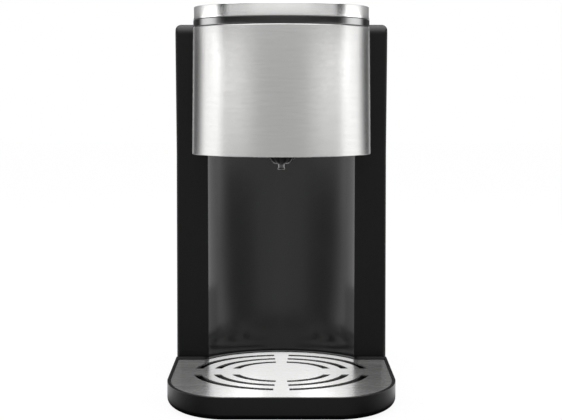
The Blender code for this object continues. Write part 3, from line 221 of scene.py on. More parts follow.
niche_sight = 0.112
head_sight = 0.31
drum_sight = 0.3667
ring_sight = 0.3820
curtain_top = 0.9
drum_bands = [
    (0, 0.98), (15, 1.01), (28, 1.12), (42, 1.50), (53, 1.70), (62, 1.76), (72, 1.66), (78, 1.72),
    (83, 2.20), (87, 2.60), (102, 2.50), (110, 2.35), (116, 1.88), (122, 1.06), (129, 0.40), (137, 0.14),
    (146, 0.14), (154, 0.40), (162, 1.20), (170, 2.20), (180, 2.20)
]
curtain("curtain_niche", 0.0, niche_sight, [
    (0, 0.94), (27, 0.83), (40, 0.57), (54, 0.45), (66, 0.50), (74, 0.90), (80, 1.50), (86, 2.10),
    (112, 2.40), (128, 1.50), (140, 0.20), (165, 0.10), (175, 1.00), (180, 1.00)
])
curtain("curtain_low", niche_sight, head_sight, drum_bands)
curtain("curtain_upper", head_sight, drum_sight, [
    (0, 0.96), (15, 1.01), (28, 1.30), (42, 2.40), (53, 3.20), (62, 3.50), (72, 3.45), (79, 4.30),
    (84, 5.50), (89, 5.50), (95, 3.40), (102, 2.20), (110, 2.10), (115, 1.60), (121, 0.82), (128, 0.30),
    (137, 0.12), (146, 0.14), (154, 0.40), (162, 1.20), (170, 2.20), (180, 2.20)
])
curtain("curtain_middle", drum_sight, ring_sight, [
    (0, 0.34), (28, 0.33), (42, 0.27), (53, 0.22), (62, 0.15), (75, 0.14), (81, 0.40), (88, 1.77),
    (94, 5.00), (100, 6.20), (108, 5.80), (114, 5.00), (120, 3.80), (126, 1.30), (131, 0.25), (136, 0.10),
    (150, 0.12), (165, 0.15), (180, 0.60)
])
curtain("curtain_high", ring_sight, curtain_top, [
    (0, 1.26), (30, 1.17), (45, 0.90), (60, 0.77), (68, 0.78), (73, 0.50), (77, 0.13), (83, 0.09),
    (87, 0.52), (92, 1.50), (114, 1.42), (120, 1.15), (126, 0.80), (134, 0.55), (146, 0.38), (157, 0.30),
    (170, 1.60), (180, 1.80)
])
curtain("curtain_floor", 0.0, 0.0, [
    (0, 0.94), (27, 0.83), (40, 0.57), (54, 0.45), (66, 0.50), (74, 0.80), (80, 1.15), (86, 1.60),
    (112, 2.10), (130, 1.60), (150, 1.00), (180, 1.00)
])

overhead_width = 2.4
overhead_depth = 2.0
overhead_tone = 7.0
upper_front_tone = 1.2
upper_front_height = 0.9
upper_front_place = (0.0, -1.6, 1.15)
upper_front_tilt = math.radians(55)
overhead_place = (0.0, -0.2, 1.6)
# The card under the tray and the seat is near black: painted shade that stands in for the floor's shadow in
# reflections.
shade_card_tone = 0.02
shade_card_margin = 0.010
shade_card_width = 2 * (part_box("drip_tray")[1].x + shade_card_margin)
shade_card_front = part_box("drip_tray")[0].y - shade_card_margin
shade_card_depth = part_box("tank_seat")[1].y - shade_card_front
shade_card_place = (0.0, shade_card_front + shade_card_depth / 2, 2 * sheet_lift)


def card(name, place, tilt, width, depth, tone, one_sided=False):
    """A flat card that only gloss can see."""
    bpy.ops.object.select_all(action="DESELECT")
    bpy.ops.mesh.primitive_plane_add(size=1.0, location=place, rotation=(tilt, 0.0, 0.0))
    sheet = bpy.context.object
    sheet.name = name
    sheet.scale = (width, depth, 1.0)
    only_for_gloss(sheet, glow_sheet(name, tone, one_sided))


card("card_overhead", overhead_place, 0.0, overhead_width, overhead_depth, overhead_tone)
card(
    "card_upper_front", upper_front_place, upper_front_tilt, overhead_width, upper_front_height,
    upper_front_tone
)
card("card_underfoot", shade_card_place, 0.0, shade_card_width, shade_card_depth, shade_card_tone)

beside_width = 0.18
beside_height = 0.13
beside_tone = 0.16
beside_start = 0.0640
beside_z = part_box("drip_tray")[1].z + beside_height / 2
housing_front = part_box("housing_shell")[0].y
for side, side_name in both_sides:
    place = (side * (beside_start + beside_width / 2), housing_front, beside_z)
    card(
        "card_beside_" + side_name, place, -math.pi / 2, beside_width, beside_height, beside_tone,
        one_sided=True
    )

# Two curved cards line the niche, one above the other, just in front of its wall. They shine inwards only,
# and light the drip plate and the sides of the niche.
liner_clear = 0.0024
liner_margin = 0.001
liner_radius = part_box("niche_panel")[1].y - drum_y - liner_clear
liner_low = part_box("drip_tray")[1].z + liner_margin
liner_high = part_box("niche_panel")[1].z - liner_margin
liner_split = 0.062
liner_setback = 0.0005


def alone(piece):
    """Selects one piece and makes it the active one."""
    bpy.ops.object.select_all(action="DESELECT")
    piece.select_set(True)
    bpy.context.view_layer.objects.active = piece


def open_whole(piece):
    """Goes into edit mode with the whole of a piece selected."""
    alone(piece)
    bpy.ops.object.mode_set(mode="EDIT")
    bpy.ops.mesh.select_all(action="SELECT")


def trimmed(piece, point, away, closed=True):
    """Cuts off all of a piece that lies past a plane, and closes the cut or leaves it open."""
    open_whole(piece)
    bpy.ops.mesh.bisect(plane_co=point, plane_no=away, use_fill=closed, clear_outer=True)
    bpy.ops.object.mode_set(mode="OBJECT")
    return piece


for name, low, high, bands in (
    ("card_niche_low", liner_low, liner_split, [
        (0, 1.10), (128, 1.10), (139, 1.20), (146, 1.28), (151, 1.32), (162, 1.40), (180, 1.45),
    ]),
    ("card_niche_high", liner_split, liner_high, [
        (0, 1.70), (128, 1.75), (134, 1.95), (139, 2.10), (146, 2.50), (150, 2.90), (154, 3.80), (162, 4.40),
        (168, 1.60), (180, 1.50),
    ]),
):
    liner = curtain(name, low, high, bands, liner_radius, one_sided=True)
    trimmed(liner, (0.0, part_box("niche_panel")[0].y + liner_setback, 0.0), (0.0, -1.0, 0.0), closed=False)

# The floor: a wide pale sheet that the camera sees as white, with the object's soft shadow left on it.
# Part of its brightness is a glow that soft light doesn't see, so that the white holds round the shadow.
floor_reach = 6.0
floor_tone = 0.80
floor_lift = 0.86
floor_glow = 1.07
floor_roughness = 0.7
floor_specular = 0.1
bpy.ops.object.select_all(action="DESELECT")
bpy.ops.mesh.primitive_plane_add(size=2 * floor_reach, location=(0.0, 0.0, 0.0))
floor = bpy.context.object
floor.name = "pale_floor"
pale = bpy.data.materials.new("pale_floor")
pale.use_nodes = True
pale_tree = pale.node_tree
pale_shader = pale_tree.nodes["Principled BSDF"]
pale_shader.inputs["Base Color"].default_value = (floor_tone, floor_tone, floor_tone, 1.0)
pale_shader.inputs["Roughness"].default_value = floor_roughness
pale_shader.inputs["Specular IOR Level"].default_value = floor_specular
pale_glow = pale_tree.nodes.new("ShaderNodeEmission")
pale_glow.inputs["Strength"].default_value = floor_glow
pale_share = worked(pale_tree, "MULTIPLY", any_but_diffuse(pale_tree), floor_lift)
pale_mix = mixed(pale_tree, pale_share, pale_shader.outputs[0], pale_glow.outputs[0])
pale_tree.links.new(pale_mix, pale_tree.nodes["Material Output"].inputs["Surface"])
floor.data.materials.append(pale)

# The housing: one satin black moulding round the column, with a soft top front edge and thin side rounds.
# The niche for the cup and the seat of the drum are cut out of its front, and its walls are 2.5 mm thick.
housing_low, housing_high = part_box("housing_shell")
sleeve_low, sleeve_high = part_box("head_sleeve")
niche_low, niche_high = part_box("niche_panel")
drum_lower_radius = sleeve_high.x
drum_taper = 0.0011
overrun = 0.004
gap = 0.0003
housing_wall = 0.0025
housing_top_round = 0.0085
housing_side_round = 0.0028
housing_corner = 0.0050
housing_waist = 0.19
housing_waist_share = 0.9945
housing_foot_share = 1.002
niche_wall = 0.0020
niche_edge = 0.0004
niche_half = 0.0606
niche_skin = 0.0006
niche_edge_round = 0.0002
niche_edge_steps = 5
housing_top_steps = 14
housing_side_steps = 6
round_sides = 256
hole_sides = 96
small_sides = 48
far = 1.0


def home(piece):
    """Moves a piece's place, turn and size into its mesh."""
    alone(piece)
    bpy.ops.object.transform_apply(location=True, rotation=True, scale=True)
    return piece


def block(name, low, high):
    """A plain block between two corners."""
    low, high = Vector(low), Vector(high)
    bpy.ops.object.select_all(action="DESELECT")
    bpy.ops.mesh.primitive_cube_add(size=1.0, location=(low + high) / 2)
    piece = bpy.context.object
    piece.name = name
    piece.scale = high - low
    return home(piece)


def drum(name, x, y, low, high, radius, sides=round_sides, high_radius=None):
    """An upright plain cylinder, or a cone where its upper radius differs."""
    bpy.ops.object.select_all(action="DESELECT")
    bpy.ops.mesh.primitive_cone_add(
        vertices=sides, radius1=radius, radius2=radius if high_radius is None else high_radius,
        depth=high - low, location=(x, y, (low + high) / 2)
    )
    piece = bpy.context.object
    piece.name = name
    return home(piece)


def level_rod(name, first, second, start, end, radius, axis, sides=hole_sides):
    """A level cylinder along X at a place of y and z, or along Y at a place of x and z."""
    middle = (start + end) / 2
    along_x = axis == "X"
    bpy.ops.object.select_all(action="DESELECT")
    bpy.ops.mesh.primitive_cylinder_add(
        vertices=sides, radius=radius, depth=end - start,
        location=(middle, first, second) if along_x else (first, middle, second),
        rotation=(0.0, math.pi / 2, 0.0) if along_x else (math.pi / 2, 0.0, 0.0)
    )
    piece = bpy.context.object
    piece.name = name
    return home(piece)


def select_corners(piece, wanted):
    """In edit mode, selects the corners that a test accepts."""
    alone(piece)
    bpy.ops.object.mode_set(mode="EDIT")
    bpy.ops.mesh.select_mode(type="VERT")
    bpy.ops.mesh.select_all(action="DESELECT")
    bpy.ops.object.mode_set(mode="OBJECT")
    for corner in piece.data.vertices:
        corner.select = wanted(corner.co)
    bpy.ops.object.mode_set(mode="EDIT")


def select_edges(piece, wanted):
    """In edit mode, selects the edges whose two ends a test accepts."""
    alone(piece)
    bpy.ops.object.mode_set(mode="EDIT")
    bpy.ops.mesh.select_all(action="DESELECT")
    bpy.ops.mesh.select_mode(type="EDGE")
    bpy.ops.object.mode_set(mode="OBJECT")
    for edge in piece.data.edges:
        a, b = (piece.data.vertices[index].co for index in edge.vertices)
        edge.select = wanted(a, b)
    bpy.ops.object.mode_set(mode="EDIT")


def round_edges(piece, wanted, width, segments):
    """Rounds the edges that a test accepts."""
    select_edges(piece, wanted)
    bpy.ops.mesh.bevel(offset=width, segments=segments, affect="EDGES")
    bpy.ops.object.mode_set(mode="OBJECT")


def apply_modifier(piece, modifier):
    """Applies one modifier of a piece."""
    alone(piece)
    bpy.ops.object.modifier_apply(modifier=modifier.name)


def cut(piece, tool, operation="DIFFERENCE"):
    """Cuts a piece by a tool, or joins the two, and removes the tool."""
    change = piece.modifiers.new("cut", "BOOLEAN")
    change.operation = operation
    change.object = tool
    apply_modifier(piece, change)
    bpy.data.objects.remove(tool, do_unlink=True)
    return piece


def eased(piece, width, segments=2, angle=0.6):
    """Breaks every sharp edge of a piece by a small round."""
    ease = piece.modifiers.new("ease", "BEVEL")
    ease.width = width
    ease.segments = segments
    ease.limit_method = "ANGLE"
    ease.angle_limit = angle
    ease.use_clamp_overlap = True
    apply_modifier(piece, ease)
    return piece


def smooth(piece, angle=35):
    """Shades a piece smooth but for its sharp edges, and keeps its flat faces flat."""
    alone(piece)
    bpy.ops.object.shade_smooth_by_angle(angle=math.radians(angle))
    weigh = piece.modifiers.new("weigh", "WEIGHTED_NORMAL")
    weigh.keep_sharp = True
    weigh.weight = 100
    apply_modifier(piece, weigh)
    return piece


def finish(piece, material, slot, body, *nodes):
    """Gives a finished piece its material, its body and the nodes it stands for. Its slot is not used."""
    piece.data.materials.clear()
    piece.data.materials.append(material)
    piece.data.name = piece.name
    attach(piece, body)
    if nodes:
        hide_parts(*nodes)
    return piece


def inputs_of(material):
    """The sockets of a material's shader."""
    return material.node_tree.nodes["Principled BSDF"].inputs


def new_finish(name, colour, roughness, metallic=0.0, specular=0.5):
    """A new material with its plain values set."""
    made = bpy.data.materials.new(name)
    made.use_nodes = True
    sockets = inputs_of(made)
    sockets["Base Color"].default_value = (*colour, 1.0)
    sockets["Roughness"].default_value = roughness
    sockets["Metallic"].default_value = metallic
    sockets["Specular IOR Level"].default_value = specular
    return made


def grain(material, stretch, detail=2.0, rough=0.5):
    """Noise on object coordinates, by its turns per metre: one number, or one for each axis."""
    tree = material.node_tree
    place = tree.nodes.new("ShaderNodeTexCoord")
    scale = tree.nodes.new("ShaderNodeMapping")
    scale.inputs["Scale"].default_value = stretch if isinstance(stretch, tuple) else 3 * (stretch,)
    noise = tree.nodes.new("ShaderNodeTexNoise")
    noise.inputs["Scale"].default_value = 1.0
    noise.inputs["Detail"].default_value = detail
    noise.inputs["Roughness"].default_value = rough
    tree.links.new(place.outputs["Object"], scale.inputs["Vector"])
    tree.links.new(scale.outputs["Vector"], noise.inputs["Vector"])
    return noise.outputs["Fac"]


def between(material, pattern, low, high, start=0.3, end=0.7):
    """Maps a pattern to a range."""
    span = material.node_tree.nodes.new("ShaderNodeMapRange")
    span.inputs["From Min"].default_value = start
    span.inputs["From Max"].default_value = end
    span.inputs["To Min"].default_value = low
    span.inputs["To Max"].default_value = high
    material.node_tree.links.new(pattern, span.inputs["Value"])
    return span.outputs["Result"]


def sheen(material, pattern, low, high):
    """Makes a material rougher and smoother by a pattern."""
    material.node_tree.links.new(between(material, pattern, low, high), inputs_of(material)["Roughness"])


def tint(material, pattern, dark, light):
    """Colours a material between two tones by a pattern."""
    tree = material.node_tree
    blend = tree.nodes.new("ShaderNodeMix")
    blend.data_type = "RGBA"
    blend.inputs["A"].default_value = (*dark, 1.0)
    blend.inputs["B"].default_value = (*light, 1.0)
    tree.links.new(pattern, blend.inputs["Factor"])
    tree.links.new(blend.outputs["Result"], inputs_of(material)["Base Color"])


def relief(material, pattern, depth, strength=1.0):
    """Raises a material's surface by a pattern."""
    tree = material.node_tree
    bump = tree.nodes.new("ShaderNodeBump")
    bump.inputs["Strength"].default_value = strength
    bump.inputs["Distance"].default_value = depth
    tree.links.new(pattern, bump.inputs["Height"])
    tree.links.new(bump.outputs["Normal"], inputs_of(material)["Normal"])


def grey(tone):
    """A neutral colour."""
    return (tone, tone, tone)


# Satin black: a fine spark-eroded mould grain, slightly uneven in sheen.
satin_black = new_finish("satin_black", grey(0.002), 0.4, specular=0.15)
mould_grain = grain(satin_black, 2600, detail=3.0)
sheen_cloud = grain(satin_black, 55, detail=3.0)
sheen(satin_black, sheen_cloud, 0.36, 0.44)
tint(satin_black, mould_grain, grey(0.0014), grey(0.0030))
relief(satin_black, mould_grain, 0.00002)

housing = block("housing", housing_low, housing_high)
round_edges(
    housing, lambda a, b: min(a.z, b.z) > housing_high.z - gap and max(a.y, b.y) < housing_low.y + gap,
    housing_top_round, housing_top_steps
)
round_edges(housing, lambda a, b: (
    abs(a.x) > housing_high.x - gap and abs(b.x) > housing_high.x - gap and a.x * b.x > 0
    and min(a.y, b.y) < housing_high.y - gap and max(a.z, b.z) > housing_low.z + gap
), housing_side_round, housing_side_steps)
open_whole(housing)
bpy.ops.mesh.bisect(plane_co=(0.0, 0.0, housing_waist), plane_no=(0.0, 0.0, 1.0))
bpy.ops.object.mode_set(mode="OBJECT")
for level, share in ((housing_waist, housing_waist_share), (housing_low.z, housing_foot_share)):
    select_corners(housing, lambda corner: abs(corner.z - level) < gap)
    bpy.ops.transform.resize(value=(share, 1.0, 1.0), center_override=(0.0, 0.0, level))
    bpy.ops.object.mode_set(mode="OBJECT")
cut(housing, block(
    "housing_room", (housing_low.x + housing_wall, housing_low.y + housing_wall, housing_low.z - overrun),
    (housing_high.x - housing_wall, housing_high.y + overrun, housing_high.z - housing_wall)
))
niche_outer = (niche_high.x ** 2 + (housing_low.y - drum_y) ** 2) ** 0.5
niche_inner = niche_outer - niche_wall
niche_lip = niche_inner + niche_edge + gap
niche_tool = drum("niche_tool", 0.0, drum_y, housing_low.z - overrun, sleeve_low.z, niche_lip)
cut(niche_tool, block(
    "skin_tool", (-far, -far, housing_low.z - 2 * overrun),
    (far, housing_low.y + niche_skin, sleeve_low.z + overrun)
))
cut(housing, niche_tool)
cut(housing, block(
    "opening_tool", (-niche_half, housing_low.y - overrun, housing_low.z - overrun),
    (niche_half, housing_low.y + 2 * niche_skin, sleeve_low.z)
))
round_edges(housing, lambda a, b: (
    max(a.y, b.y) < housing_low.y + gap and abs(abs(a.x) - abs(b.x)) < gap and abs(a.x) < niche_high.x
    and max(a.z, b.z) < sleeve_low.z + gap and abs(a.z - b.z) > niche_edge_round
), niche_edge_round, niche_edge_steps)
for side in (-1, 1):
    corner_x = side * (housing_high.x - housing_corner)
    corner_z = housing_high.z - housing_corner
    corner_ends = sorted((corner_x, corner_x + 2 * side * housing_corner))
    corner_tool = block(
        "corner_tool", (corner_ends[0], housing_low.y - overrun, corner_z),
        (corner_ends[1], housing_high.y + overrun, corner_z + 2 * housing_corner)
    )
    cut(corner_tool, level_rod("corner_rod", corner_x, corner_z, -far, far, housing_corner, "Y"))
    cut(housing, corner_tool)


def drum_radius(z):
    """The sleeve's outer radius at a height, which tapers evenly upwards."""
    share = (z - sleeve_low.z) / (sleeve_high.z - sleeve_low.z)
    return drum_lower_radius - drum_taper * share


drum_gap = 0.0006
tool_low = sleeve_low.z - overrun
tool_high = housing_high.z + overrun
cut(housing, drum(
    "drum_tool", 0.0, drum_y, tool_low, tool_high, drum_radius(tool_low) + drum_gap,
    high_radius=drum_radius(tool_high) + drum_gap
))
finish(smooth(housing), satin_black, "satin_black", "base", "housing_shell")

# The niche panel: a thin curved wall of glossy black behind the cup, let into the housing's front.
# Its two ends hook behind the column's front wall, and a thin polished edge runs on up to the opening.
gloss_black = new_finish("gloss_black", grey(0.0035), 0.08, specular=0.42)
gloss_cloud = grain(gloss_black, 30)
dust = grain(gloss_black, 900)
sheen(gloss_black, gloss_cloud, 0.14, 0.18)
tint(gloss_black, between(gloss_black, dust, 0.0, 1.0, 0.62, 0.8), grey(0.0032), grey(0.0075))
relief(gloss_black, gloss_cloud, 0.00012, 0.35)

tiny = 0.00001
niche_ease = 0.0002


def turned(name, x, y, rings, sides=round_sides, closed=True):
    """Turns a profile of radius and height about an upright axis, by drawing a ring from point to point."""
    radius, height = rings[0]
    bpy.ops.object.select_all(action="DESELECT")
    bpy.ops.mesh.primitive_circle_add(vertices=sides, radius=radius, location=(x, y, height))
    piece = bpy.context.object
    piece.name = name
    home(piece)
    open_whole(piece)
    for wide, high in rings[1:] + (rings[:1] if closed else []):
        bpy.ops.mesh.extrude_region_move(TRANSFORM_OT_translate={"value": (0.0, 0.0, high - height)})
        share = wide / radius
        bpy.ops.transform.resize(value=(share, share, 1.0), center_override=(x, y, high))
        radius, height = wide, high
    bpy.ops.mesh.select_all(action="SELECT")
    bpy.ops.mesh.remove_doubles(threshold=2 * tiny)
    bpy.ops.mesh.normals_make_consistent(inside=False)
    bpy.ops.object.mode_set(mode="OBJECT")
    return piece


niche = turned("niche_wall", 0.0, drum_y, [
    (niche_outer, niche_low.z), (niche_outer, niche_high.z), (niche_inner, niche_high.z),
    (niche_inner, niche_low.z)
])
trimmed(niche, (0.0, niche_low.y + housing_wall + gap, 0.0), (0.0, -1.0, 0.0))
niche_front = turned("niche_front", 0.0, drum_y, [
    (niche_inner + niche_edge, niche_low.z), (niche_inner + niche_edge, niche_high.z),
    (niche_inner, niche_high.z), (niche_inner, niche_low.z)
])
trimmed(niche_front, (0.0, niche_low.y + niche_skin + gap / 3, 0.0), (0.0, -1.0, 0.0))
cut(niche, niche_front, "UNION")
finish(smooth(eased(niche, niche_ease)), gloss_black, "gloss_black", "base", "niche_panel")

# The drip tray: a D-shaped basin of satin black plastic, whose skirt hides the base.
# Its front corners are wider along than across, and its lower edge is drawn in by a 4.5 mm round.
tray_low, tray_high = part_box("drip_tray")
plate_low, plate_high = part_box("drip_plate")
corner_across = 0.0474
corner_along = 0.0680
tray_half = tray_high.x
tray_drop = 0.0010
tray_foot = tray_low.z - tray_drop
tray_back = housing_low.y - gap
tray_hollow = tray_high.y - drum_y
tray_rim = 0.0024
tray_under_round = 0.0045
tray_lip_round = 0.0004
tray_floor_low = 0.0053
tray_floor = 0.0020
skirt_wall = 0.0016
skirt_inset = tray_under_round + skirt_wall
plate_inset = tray_half - plate_high.x
plate_setback = 0.0106
plate_back = housing_low.y - plate_setback
plate_hollow = plate_high.y - drum_y
plate_gap = 0.0004
ledge_width = 0.0022
tray_ease = 0.00015
deck_corner_steps = 28
deck_round_steps = 8


def deck(name, inset, back, hollow, low, high, under_round=0.0, lip_round=0.0):
    """The D-shape shared by the tray and its plate, drawn in by an inset, with a round back."""
    half = tray_half - inset
    front = tray_low.y + inset
    across = corner_across - inset
    stretch = (corner_along - inset) / across
    bpy.ops.object.select_all(action="DESELECT")
    bpy.ops.mesh.primitive_plane_add(size=1.0, location=(0.0, (front + back) / stretch / 2, low))
    piece = bpy.context.object
    piece.name = name
    piece.scale = (2 * half, (back - front) / stretch, 1.0)
    home(piece)
    select_corners(piece, lambda corner: corner.y < (front + back) / stretch / 2)
    bpy.ops.mesh.bevel(offset=across, segments=deck_corner_steps, affect="VERTICES")
    bpy.ops.mesh.select_all(action="SELECT")
    bpy.ops.transform.resize(value=(1.0, stretch, 1.0), center_override=(0.0, 0.0, low))
    bpy.ops.mesh.extrude_region_move(TRANSFORM_OT_translate={"value": (0.0, 0.0, high - low)})
    bpy.ops.mesh.select_all(action="SELECT")
    bpy.ops.mesh.normals_make_consistent(inside=False)
    bpy.ops.object.mode_set(mode="OBJECT")
    for level, width in ((low, under_round), (high, lip_round)):
        if width:
            round_edges(piece, lambda a, b: (
                abs(a.z - level) < tiny and abs(b.z - level) < tiny and min(a.y, b.y) < back - tiny
            ), width, deck_round_steps)
    rear = drum(name + "_back", 0.0, drum_y, low, high, hollow)
    trimmed(rear, (0.0, drum_y + hollow / 4, 0.0), (0.0, -1.0, 0.0))
    return cut(piece, rear, "UNION")


tray = deck("tray", 0.0, tray_back, tray_hollow, tray_foot, tray_high.z, tray_under_round, tray_lip_round)
cut(tray, deck(
    "skirt_tool", skirt_inset, tray_back + overrun, tray_hollow + overrun, tray_foot - overrun,
    tray_floor_low
))
basin_inset = plate_inset + ledge_width
cut(tray, deck(
    "basin_tool", basin_inset, plate_back - ledge_width, plate_hollow - ledge_width,
    tray_floor_low + tray_floor, tray_high.z + overrun
))
cut(tray, deck(
    "ledge_tool", tray_rim, plate_back + plate_gap, plate_hollow + plate_gap, plate_low.z - gap,
    tray_high.z + overrun
))
post_radius = 0.0035
post_x = 0.0300
post_front = -0.0280
post_rear = 0.0180
post_sides = 40
for x in (-post_x, post_x):
    for y in (drum_y + post_front, drum_y + post_rear):
        post = drum(
            "post", x, y, tray_floor_low + tray_floor / 2, plate_low.z - gap, post_radius, post_sides
        )
        cut(tray, post, "UNION")
finish(smooth(eased(tray, tray_ease)), satin_black, "satin_black", "tray", "drip_tray")

# The drip plate: sheet steel brushed from side to side, with three broken ring slots punched through.
# The slots leave a plain cross: a bar from side to side behind the middle, and a bridge front to back.
brushed = new_finish("plate_steel", grey(0.5), 0.2, metallic=0.78)
plate_grain = grain(brushed, (14, 2300, 200), detail=3.0, rough=0.6)
plate_broad = grain(brushed, (9, 420, 60), detail=3.0, rough=0.6)
tint(brushed, plate_broad, (0.40, 0.40, 0.395), (0.50, 0.50, 0.495))
sheen(brushed, plate_grain, 0.20, 0.30)
relief(brushed, plate_grain, 0.000022, 0.8)

slot_advance = 0.0120
slot_centre = drum_y - slot_advance
slot_radii = (0.0375, 0.0515, 0.0665)
slot_widths = (0.0056, 0.0058, 0.0062)
bridge_halves = (0.0044, 0.0052, 0.0060)
bar_front_advance = 0.0240
bar_back_advance = 0.0010
bar_front = drum_y - bar_front_advance
bar_back = drum_y - bar_back_advance
slot_sides = 160
plate_ease = 0.0002
plate_ease_angle = 0.9

plate = deck("plate", plate_inset, plate_back, plate_hollow, plate_low.z, plate_high.z)
tool_bottom = plate_low.z - overrun
tool_top = plate_high.z + overrun
for radius, width, bridge in zip(slot_radii, slot_widths, bridge_halves):
    inner = radius - width / 2
    outer = radius + width / 2
    slot_tool = turned("slot_tool", 0.0, slot_centre, [
        (outer, tool_bottom), (outer, tool_top), (inner, tool_top), (inner, tool_bottom)
    ], slot_sides)
    cut(slot_tool, block("bridge_tool", (-bridge, -far, -far), (bridge, far, far)))
    cut(slot_tool, block("bar_tool", (-far, bar_front, -far), (far, bar_back, far)))
    cut(plate, slot_tool)
finish(smooth(
    eased(plate, plate_ease, angle=plate_ease_angle)
), brushed, "brushed_steel", "plate", "drip_plate")

# The sleeve: a drum of steel sheet brushed round and round, a little wider below than above.
# Both edges are rolled in, the lower one to a bright hem, and its back is cut off flat inside the column.
round_steel = new_finish("drum_steel", grey(0.42), 0.2, metallic=1.0)
drum_grain = grain(round_steel, (180, 180, 2400), detail=3.0, rough=0.6)
drum_broad = grain(round_steel, (45, 45, 700), detail=4.0, rough=0.6)
tint(round_steel, drum_broad, (0.350, 0.350, 0.345), (0.398, 0.398, 0.393))
sheen(round_steel, drum_grain, 0.18, 0.25)
relief(round_steel, drum_grain, 0.000014, 0.6)

sleeve_wall = 0.0010
upper_hem = 0.0006
lower_hem = 0.0003
hem_drop = 0.0004
hem_fold = 0.0024
hem_steps = 6
hem_angle = 50


def quarter_round(radius, height, reach, first, last, steps=hem_steps):
    """Points of a small round in a profile, about a centre, between two angles in degrees."""
    turns = [math.radians(first + (last - first) * step / steps) for step in range(steps + 1)]
    return [(radius + reach * math.cos(turn), height + reach * math.sin(turn)) for turn in turns]


sleeve_top = sleeve_high.z
sleeve_bottom = sleeve_low.z - hem_drop
sleeve_rings = quarter_round(drum_radius(sleeve_top) - upper_hem, sleeve_top - upper_hem, upper_hem, 90, 0)
sleeve_rings += quarter_round(
    drum_radius(sleeve_bottom) - lower_hem, sleeve_bottom + lower_hem, lower_hem, 0, -90
)
sleeve_rings += [
    (drum_radius(sleeve_bottom) - hem_fold, sleeve_bottom + lower_hem / 2),
    (drum_radius(sleeve_bottom) - hem_fold, sleeve_bottom + hem_fold),
    (drum_radius(sleeve_bottom) - sleeve_wall, sleeve_bottom + hem_fold + sleeve_wall),
    (drum_radius(sleeve_top) - sleeve_wall, sleeve_top)
]
sleeve = turned("sleeve", 0.0, drum_y, sleeve_rings)
trimmed(sleeve, (0.0, sleeve_high.y, 0.0), (0.0, 1.0, 0.0))
finish(smooth(sleeve, hem_angle), round_steel, "brushed_steel", "base", "head_sleeve")

# The band: a mirror-like black ring between the sleeve and the top ring, set back a little from both.
# It is snapped over the neck of the carrier, and its edges are broken by a fine round.
band_black = new_finish("band_black", grey(0.0035), 0.06, specular=1.0)
band_cloud = grain(band_black, 30)
sheen(band_black, band_cloud, 0.02, 0.04)
tint(band_black, band_cloud, grey(0.0030), grey(0.0045))
band_low, band_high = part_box("gloss_band")
band_radius = band_high.x
band_bore = 0.0654
band_round = 0.0003
band_flat = 0.0002
band_rings = quarter_round(band_radius - band_round, band_high.z - band_round, band_round, 90, 0, 4)
band_rings += [
    (band_radius, band_high.z - band_round - band_flat), (band_radius, band_low.z + band_round + band_flat)
]
band_rings += quarter_round(band_radius - band_round, band_low.z + band_round, band_round, 0, -90, 4)
band_rings += [(band_bore, band_low.z), (band_bore, band_high.z)]
band = turned("band", 0.0, drum_y, band_rings)
finish(smooth(band), band_black, "gloss_black", "base", "gloss_band")

# The top ring: turned steel with a fine circular polish and a soft outer edge.
# It sits on the band, and a step inside it holds the control panel.
ring_steel = new_finish("ring_steel", grey(0.62), 0.1, metallic=1.0)
ring_grain = grain(ring_steel, (4, 4, 2600))
tint(ring_steel, ring_grain, (0.60, 0.60, 0.595), (0.69, 0.69, 0.685))
sheen(ring_steel, ring_grain, 0.06, 0.09)
relief(ring_steel, ring_grain, 0.000002, 0.15)

panel_low, panel_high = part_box("control_panel")
ring_radius = ring_high.x
ring_inner = panel_high.x + gap
ring_ledge = 0.0040
ring_seat = panel_low.z - gap
ring_round = 0.0006
ring_rings = quarter_round(ring_radius - ring_round, ring_high.z - ring_round, ring_round, 90, 0)
ring_rings += [
    (ring_radius, ring_high.z - ring_round - band_flat), (ring_radius, ring_low.z),
    (ring_inner - ring_ledge, ring_low.z), (ring_inner - ring_ledge, ring_seat), (ring_inner, ring_seat)
]
ring_rings += quarter_round(ring_inner + upper_hem, ring_high.z - upper_hem, upper_hem, 180, 90)
ring = turned("ring", 0.0, drum_y, ring_rings)
finish(smooth(ring, hem_angle), ring_steel, "plain_steel", "base", "top_ring")

# The control panel: a glossy black disc inside the ring, with holes for the display window and three keys.
# The window is a dark clear tile, and each key is a shallow dish with a soft round edge.
window_low, window_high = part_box("display_window")
key_nodes = ("temperature_key", "start_key", "volume_key")
key_bodies = ("key_temperature", "key_start", "key_volume")
key_gap = 0.0003
window_width = 0.0520
window_depth = 0.0240
window_round = 0.0030
window_ease = 0.00015
panel_ease = 0.0002
tile_steps = 8


def tile(name, width, depth, low, high, y, corner):
    """A flat block with round upright corners."""
    piece = block(name, (-width / 2, y - depth / 2, low), (width / 2, y + depth / 2, high))
    round_edges(piece, lambda a, b: abs(a.z - b.z) > tiny, corner, tile_steps)
    return piece


window_y = (window_low.y + window_high.y) / 2
panel = drum("panel", 0.0, drum_y, panel_low.z, panel_high.z, panel_high.x)
hole_low = panel_low.z - overrun
hole_high = panel_high.z + overrun
cut(panel, tile(
    "window_tool", window_width + 2 * gap, window_depth + 2 * gap, hole_low, hole_high, window_y,
    window_round + gap
))
key_radius = 0.0090
for node in key_nodes:
    key_low, key_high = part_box(node)
    key_place = (key_low + key_high) / 2
    cut(panel, drum(
        "key_tool", key_place.x, key_place.y, hole_low, hole_high, key_radius + key_gap, hole_sides
    ))
finish(smooth(eased(panel, panel_ease)), gloss_black, "gloss_black", "base", "control_panel")

